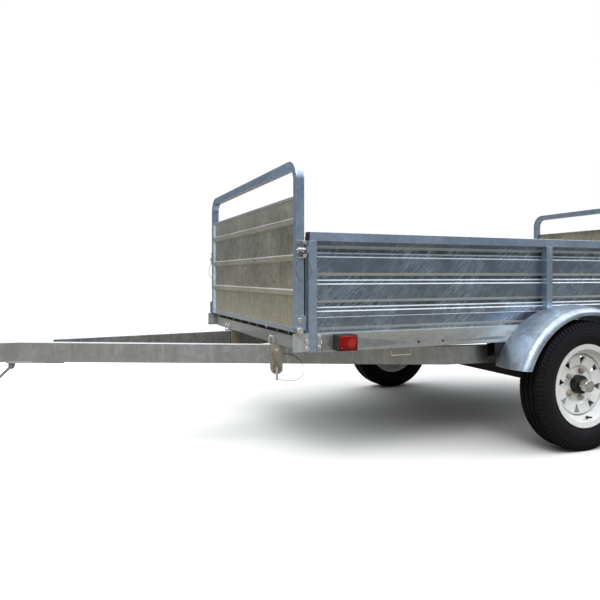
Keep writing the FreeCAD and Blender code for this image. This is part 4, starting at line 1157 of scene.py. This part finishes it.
# -------------------- bolts and small fittings
# places in millimetres, as fit() and beside_beam() take them
PIVOT_BOLT = (-36, 5, 519)
BRACKET_BOLTS = ((-9, 5, 480), (-9, 5, 456))
FLANGE_BOLTS = ((40, 4, 495), (40, 4, 459))
LATCH_BOLT_LEVELS = (831, 783)
LATCH_FLANGE_LEVELS = (835.5, 775.0)
SPRING_COILS = (-44, -38, -32, -26, -20)
STAPLE = ((-30, 441), (-30, 462), (-27, 469.5), (-21, 472.5), (-15, 469.5), (-12, 462), (-12, 441))
STAPLE_RADIUS, STAPLES_ACROSS = 0.0027, (-8, 17)
COUPLER_BOLTS = ((-1.052, 0.438), (-1.080, 0.444))      # metres behind the bed's front, and level
SPRING_EYES, SPRING_CLAMPS, CLAMP_LEGS = (858.5, 1480.5), (1143, 1184), (-6.5, -43.5)


class TRAILER_OT_fasteners(Operator):
    """Bolts, rivets, latch springs, staples and nuts."""
    bl_idname = "trailer.fasteners"
    bl_label = "Bolts and Nuts"

    def execute(self, context):
        self.corner_bolts(context.scene.trailer_fastener.head)
        self.gate_fittings()
        self.clevis_fittings()
        self.tongue_fittings()
        self.spring_fittings()
        return {"FINISHED"}

    def corner_bolts(self, head):
        """Bolts of the corner brackets and rail flanges."""
        bolts = [hex_head("bolt", fit(*PIVOT_BOLT), OUTWARD_LEFT, 0.019, 0.007, 0.0125)]
        bolts += [hex_head("bolt", fit(*spot), OUTWARD_LEFT, head, 0.005, 0.009) for spot in BRACKET_BOLTS]
        bolts += [hex_head("bolt", fit(*spot), OUTWARD_LEFT, head * 0.9, 0.0045, 0.0072)
                  for spot in FLANGE_BOLTS]
        bolts = four_corners(joined("corner_bolts", bolts), "corner_bolts")
        finish_piece(bolts, "bright_zinc", "corner_brackets")

    def gate_fittings(self):
        """Rivet on each gate foot, and the bolts, flanges and spring coils of each latch."""
        parts = [dome_head("rivet", fit(-30, -7, 556), OUTWARD_LEFT, 0.0080, 0.0014)]
        parts += [hex_head("bolt", fit(-18, 6, z), OUTWARD_LEFT, 0.011, 0.004, 0.0072)
                  for z in LATCH_BOLT_LEVELS]
        parts += [block("flange", fit(-46, 5, z), fit(-14, 8, z + 2.5), 0.0006)
                  for z in LATCH_FLANGE_LEVELS]
        parts += [round_bar("coil", fit(x, 4, 803), fit(x + 1.6, 4, 803), 0.0112, 28, 0.0007)
                  for x in SPRING_COILS]
        left = joined("gate_bolts_front", parts)
        front = joined("gate_bolts_front", [left, mirrored(left, "gate_bolts_front")])
        finish_pair(front, "gate_bolts_rear", "bright_zinc", ("gate_feet_front", "gate_feet_rear"), "x")

    def clevis_fittings(self):
        """Bright staples over the beam, a bolt and the lock pin's sleeve at each lock clevis."""
        out = (beside_beam(0, 1, 0) - beside_beam(0, 0, 0)).normalized()
        side = out * STAPLE_RADIUS
        pieces = []
        for across in STAPLES_ACROSS:
            points = [beside_beam(along, across, level) for along, level in STAPLE]
            pieces += [round_bar("staple", a, b, STAPLE_RADIUS, 16) for a, b in zip(points, points[1:])]
            pieces += [round_bar("turn", q - side, q + side, STAPLE_RADIUS, 16, 0.0008)
                       for q in points[1:-1]]
        low, high = beside_beam(0, 44, 300), beside_beam(0, 44, 352)
        pieces += [hex_head("bolt", beside_beam(0, 26.5, 418), out, 0.013, 0.005, 0.009),
                   round_bar("sleeve", low, high, 0.0047, 24, 0.0010)]
        finish_pair(joined("clevis_staples_left", pieces), "clevis_staples_right", "bright_zinc",
                    ("lock_clevises", "lock_clevises"))

    def tongue_fittings(self):
        """Bolts through the coupler's sleeve, with a head on each side."""
        low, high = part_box("coupler")
        heads = [hex_head("bolt", (BED_FRONT + x, y, z), (0, out, 0), 0.013, 0.005, 0.009)
                 for x, z in COUPLER_BOLTS for y, out in ((low.y, -1), (high.y, 1))]
        finish_piece(joined("tongue_bolts", heads), "bright_zinc", "tongue_gusset")

    def spring_fittings(self):
        """Nuts on the spring eyes and under the spring clamps."""
        nuts = [hex_head("nut", fit(back, -54.5, 390), (0, 1, 0), 0.019, 0.008, 0.012)
                for back in SPRING_EYES]
        nuts += [hex_head("nut", fit(back, out, 226.5), (0, 0, -1), 0.015, 0.007, 0.010)
                 for back in SPRING_CLAMPS for out in CLAMP_LEGS]
        left = joined("spring_nuts_left", nuts)
        both = joined("spring_nuts", [left, mirrored(left, "spring_nuts_right")])
        finish_piece(both, "rusty_zinc", "spring_clamps")


# -------------------- add-on
STEPS = ("stage", "lanyards", "finishes", "tyres", "wheel_details", "lamps", "fasteners")


class TRAILER_PT_detail(Panel):
    """Buttons and sizes of the trailer's detail."""
    bl_idname = "TRAILER_PT_detail"
    bl_label = "Trailer Detail"
    bl_space_type = "VIEW_3D"
    bl_region_type = "UI"
    bl_category = "Trailer"

    def draw(self, context):
        for step in STEPS:
            self.layout.operator("trailer." + step)
        for group in GROUP_CLASSES:
            owner = getattr(context.scene, group)
            box = self.layout.box()
            for key in owner.bl_rna.properties.keys():
                if key not in ("rna_type", "name"):
                    box.prop(owner, key)


GROUP_CLASSES = {"trailer_metal": MetalColours, "trailer_wheel": WheelSizes,
                 "trailer_fastener": FastenerSizes}
CLASSES = (*GROUP_CLASSES.values(), TRAILER_OT_stage, TRAILER_OT_lanyards, TRAILER_OT_finishes,
           TRAILER_OT_tyres, TRAILER_OT_wheel_details, TRAILER_OT_lamps, TRAILER_OT_fasteners,
           TRAILER_PT_detail)


def register():
    """Add the sizes, operators and panel to Blender."""
    for item in CLASSES:
        bpy.utils.register_class(item)
    for name, group in GROUP_CLASSES.items():
        setattr(bpy.types.Scene, name, PointerProperty(type=group))


def unregister():
    """Take them away again."""
    for name in GROUP_CLASSES:
        delattr(bpy.types.Scene, name)
    for item in reversed(CLASSES):
        bpy.utils.unregister_class(item)


def main():
    """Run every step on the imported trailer."""
    register()
    make_materials()
    for step in STEPS:
        if getattr(bpy.ops.trailer, step)() != {"FINISHED"}:
            raise RuntimeError(step + " did not finish")
    clear_selection()


if __name__ == "__main__":
    main()
